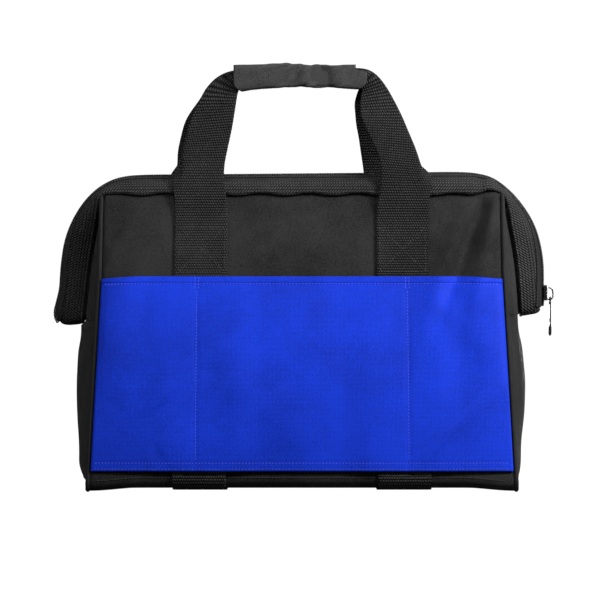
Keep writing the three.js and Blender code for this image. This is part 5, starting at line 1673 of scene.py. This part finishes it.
def rounded_block(low, high, rings=14, sides=40):
    """A block with rounded edges: superellipse sections, drawn in at both ends by the same law."""
    low, high = np.array(low, float), np.array(high, float)
    lift = np.linspace(-1, 1, rings) * math.pi / 2
    angle = np.linspace(0, 2 * math.pi, sides, endpoint=False)
    draw = np.maximum(squared(np.cos(lift), BLOCK_POWER), 0.01)[:, None]
    x = squared(np.cos(angle), BLOCK_POWER)[None] * draw
    y = squared(np.sin(angle), BLOCK_POWER)[None] * draw
    z = np.repeat(squared(np.sin(lift), BLOCK_POWER)[:, None], sides, axis=1)
    block = np.stack([x, y, z], axis=-1)
    return (low + high) / 2 + block * (high - low) / 2


half_length = SLIDER_LENGTH / 2
flange_width = (SLIDER_WIDTH - COIL_WIDTH) / 2 - GAP
flange_depth = (COIL_CENTRE + COIL_HEIGHT / 2
                - (2 * RIM_GAP + GAP + RIM_WEBBING_THICK + TAPE_THICK))
slider_low, slider_high = SLIDER_HEIGHT - half_length, SLIDER_HEIGHT + half_length
slider_shells = [rounded_block((slider_face, -SLIDER_WIDTH / 2, slider_low),
                               (plate_face, SLIDER_WIDTH / 2, slider_high))]
for side in (-1, 1):
    edges = sorted([side * (SLIDER_WIDTH / 2 - flange_width), side * SLIDER_WIDTH / 2])
    slider_shells.append(rounded_block((slider_face - flange_depth, edges[0], slider_low),
                                       (slider_face + 1.3, edges[1], slider_high)))
crown_far = plate_face + CROWN_REACH - CROWN_BAR / 2
crown_top = crown_foot + CROWN_LENGTH - CROWN_BAR / 2 - 0.3
crown_corners = np.array([
    (plate_face - 0.6, 0, crown_foot + CROWN_BAR / 2), (crown_far, 0, crown_foot + CROWN_BAR / 2),
    (crown_far, 0, crown_top), (plate_face + 0.9, 0, crown_top)])
crown_path = smooth_path(crown_corners, (2.8, 4.6))
slider_shells.append(swept_bar(crown_path, CROWN_BAR / 2, (1, CROWN_WIDTH / CROWN_BAR, 1)))
slider = joined_piece("slider_and_crown", slider_shells, black_paint, close_columns=True)
finish_piece(slider, replaces=["zipper_slider"])

# %% [markdown]
# The pull's head is a bar bent into a closed eye round the crown. Below it comes a flat tab
# with a thicker end for the fingers, whose widths and thicknesses a short table gives.

# %% Pull
TAB_POWER = 0.5

arm = PULL_WIDTH / 2 - PULL_THICK / 2
slot_foot = -PULL_THICK / 2 - PULL_EYE - 0.6
head_corners = np.array([(0, 0, 0), (0, arm * 0.85, 0), (0, arm, -5), (0, arm * 0.9, slot_foot),
                         (0, 0, slot_foot)])
half_head = smooth_path(head_corners, (1.6, 2.0, 1.5))
head_path = np.concatenate([half_head, half_head[-2:0:-1] * TO_BACK, half_head[:1]])
head = carried_round(head_path + pivot, PULL_THICK / 2, 14, np.array([1.0, 0, 0]))

# down: millimetres below the pivot, half: half width, thick: thickness there.
TAB_ROWS = np.array([
    (6.6, 2.9, 1.0), (7.4, 3.5, 1.8), (10.0, 3.8, 1.8), (18.0, 3.5, 1.8), (25.0, 3.2, 1.8),
    (27.0, 3.2, 2.2), (28.0, 3.3, 2.8), (31.0, 3.5, 2.8), (34.5, 3.7, 2.8), (36.0, 3.3, 2.4),
    (37.0, 2.2, 1.6), (37.4, 0.2, 0.2)])
tab_last = len(TAB_ROWS) - 1
down = np.interp(np.linspace(0, tab_last, 56), np.arange(tab_last + 1), TAB_ROWS[:, 0])
half = np.interp(down, TAB_ROWS[:, 0], TAB_ROWS[:, 1])
thick = np.interp(down, TAB_ROWS[:, 0], TAB_ROWS[:, 2])
angle = np.linspace(0, 2 * math.pi, 36, endpoint=False)[None]
tab = np.stack([
    pivot[0] + thick[:, None] / 2 * squared(np.sin(angle), TAB_POWER),
    half[:, None] * squared(np.cos(angle), TAB_POWER),
    np.repeat((pivot[2] - down)[:, None], 36, axis=1)], axis=-1)
pull = joined_piece("pull_tab", [head, tab], black_paint, close_columns=True)
finish_piece(pull, body="pull", replaces=["zipper_pull"])
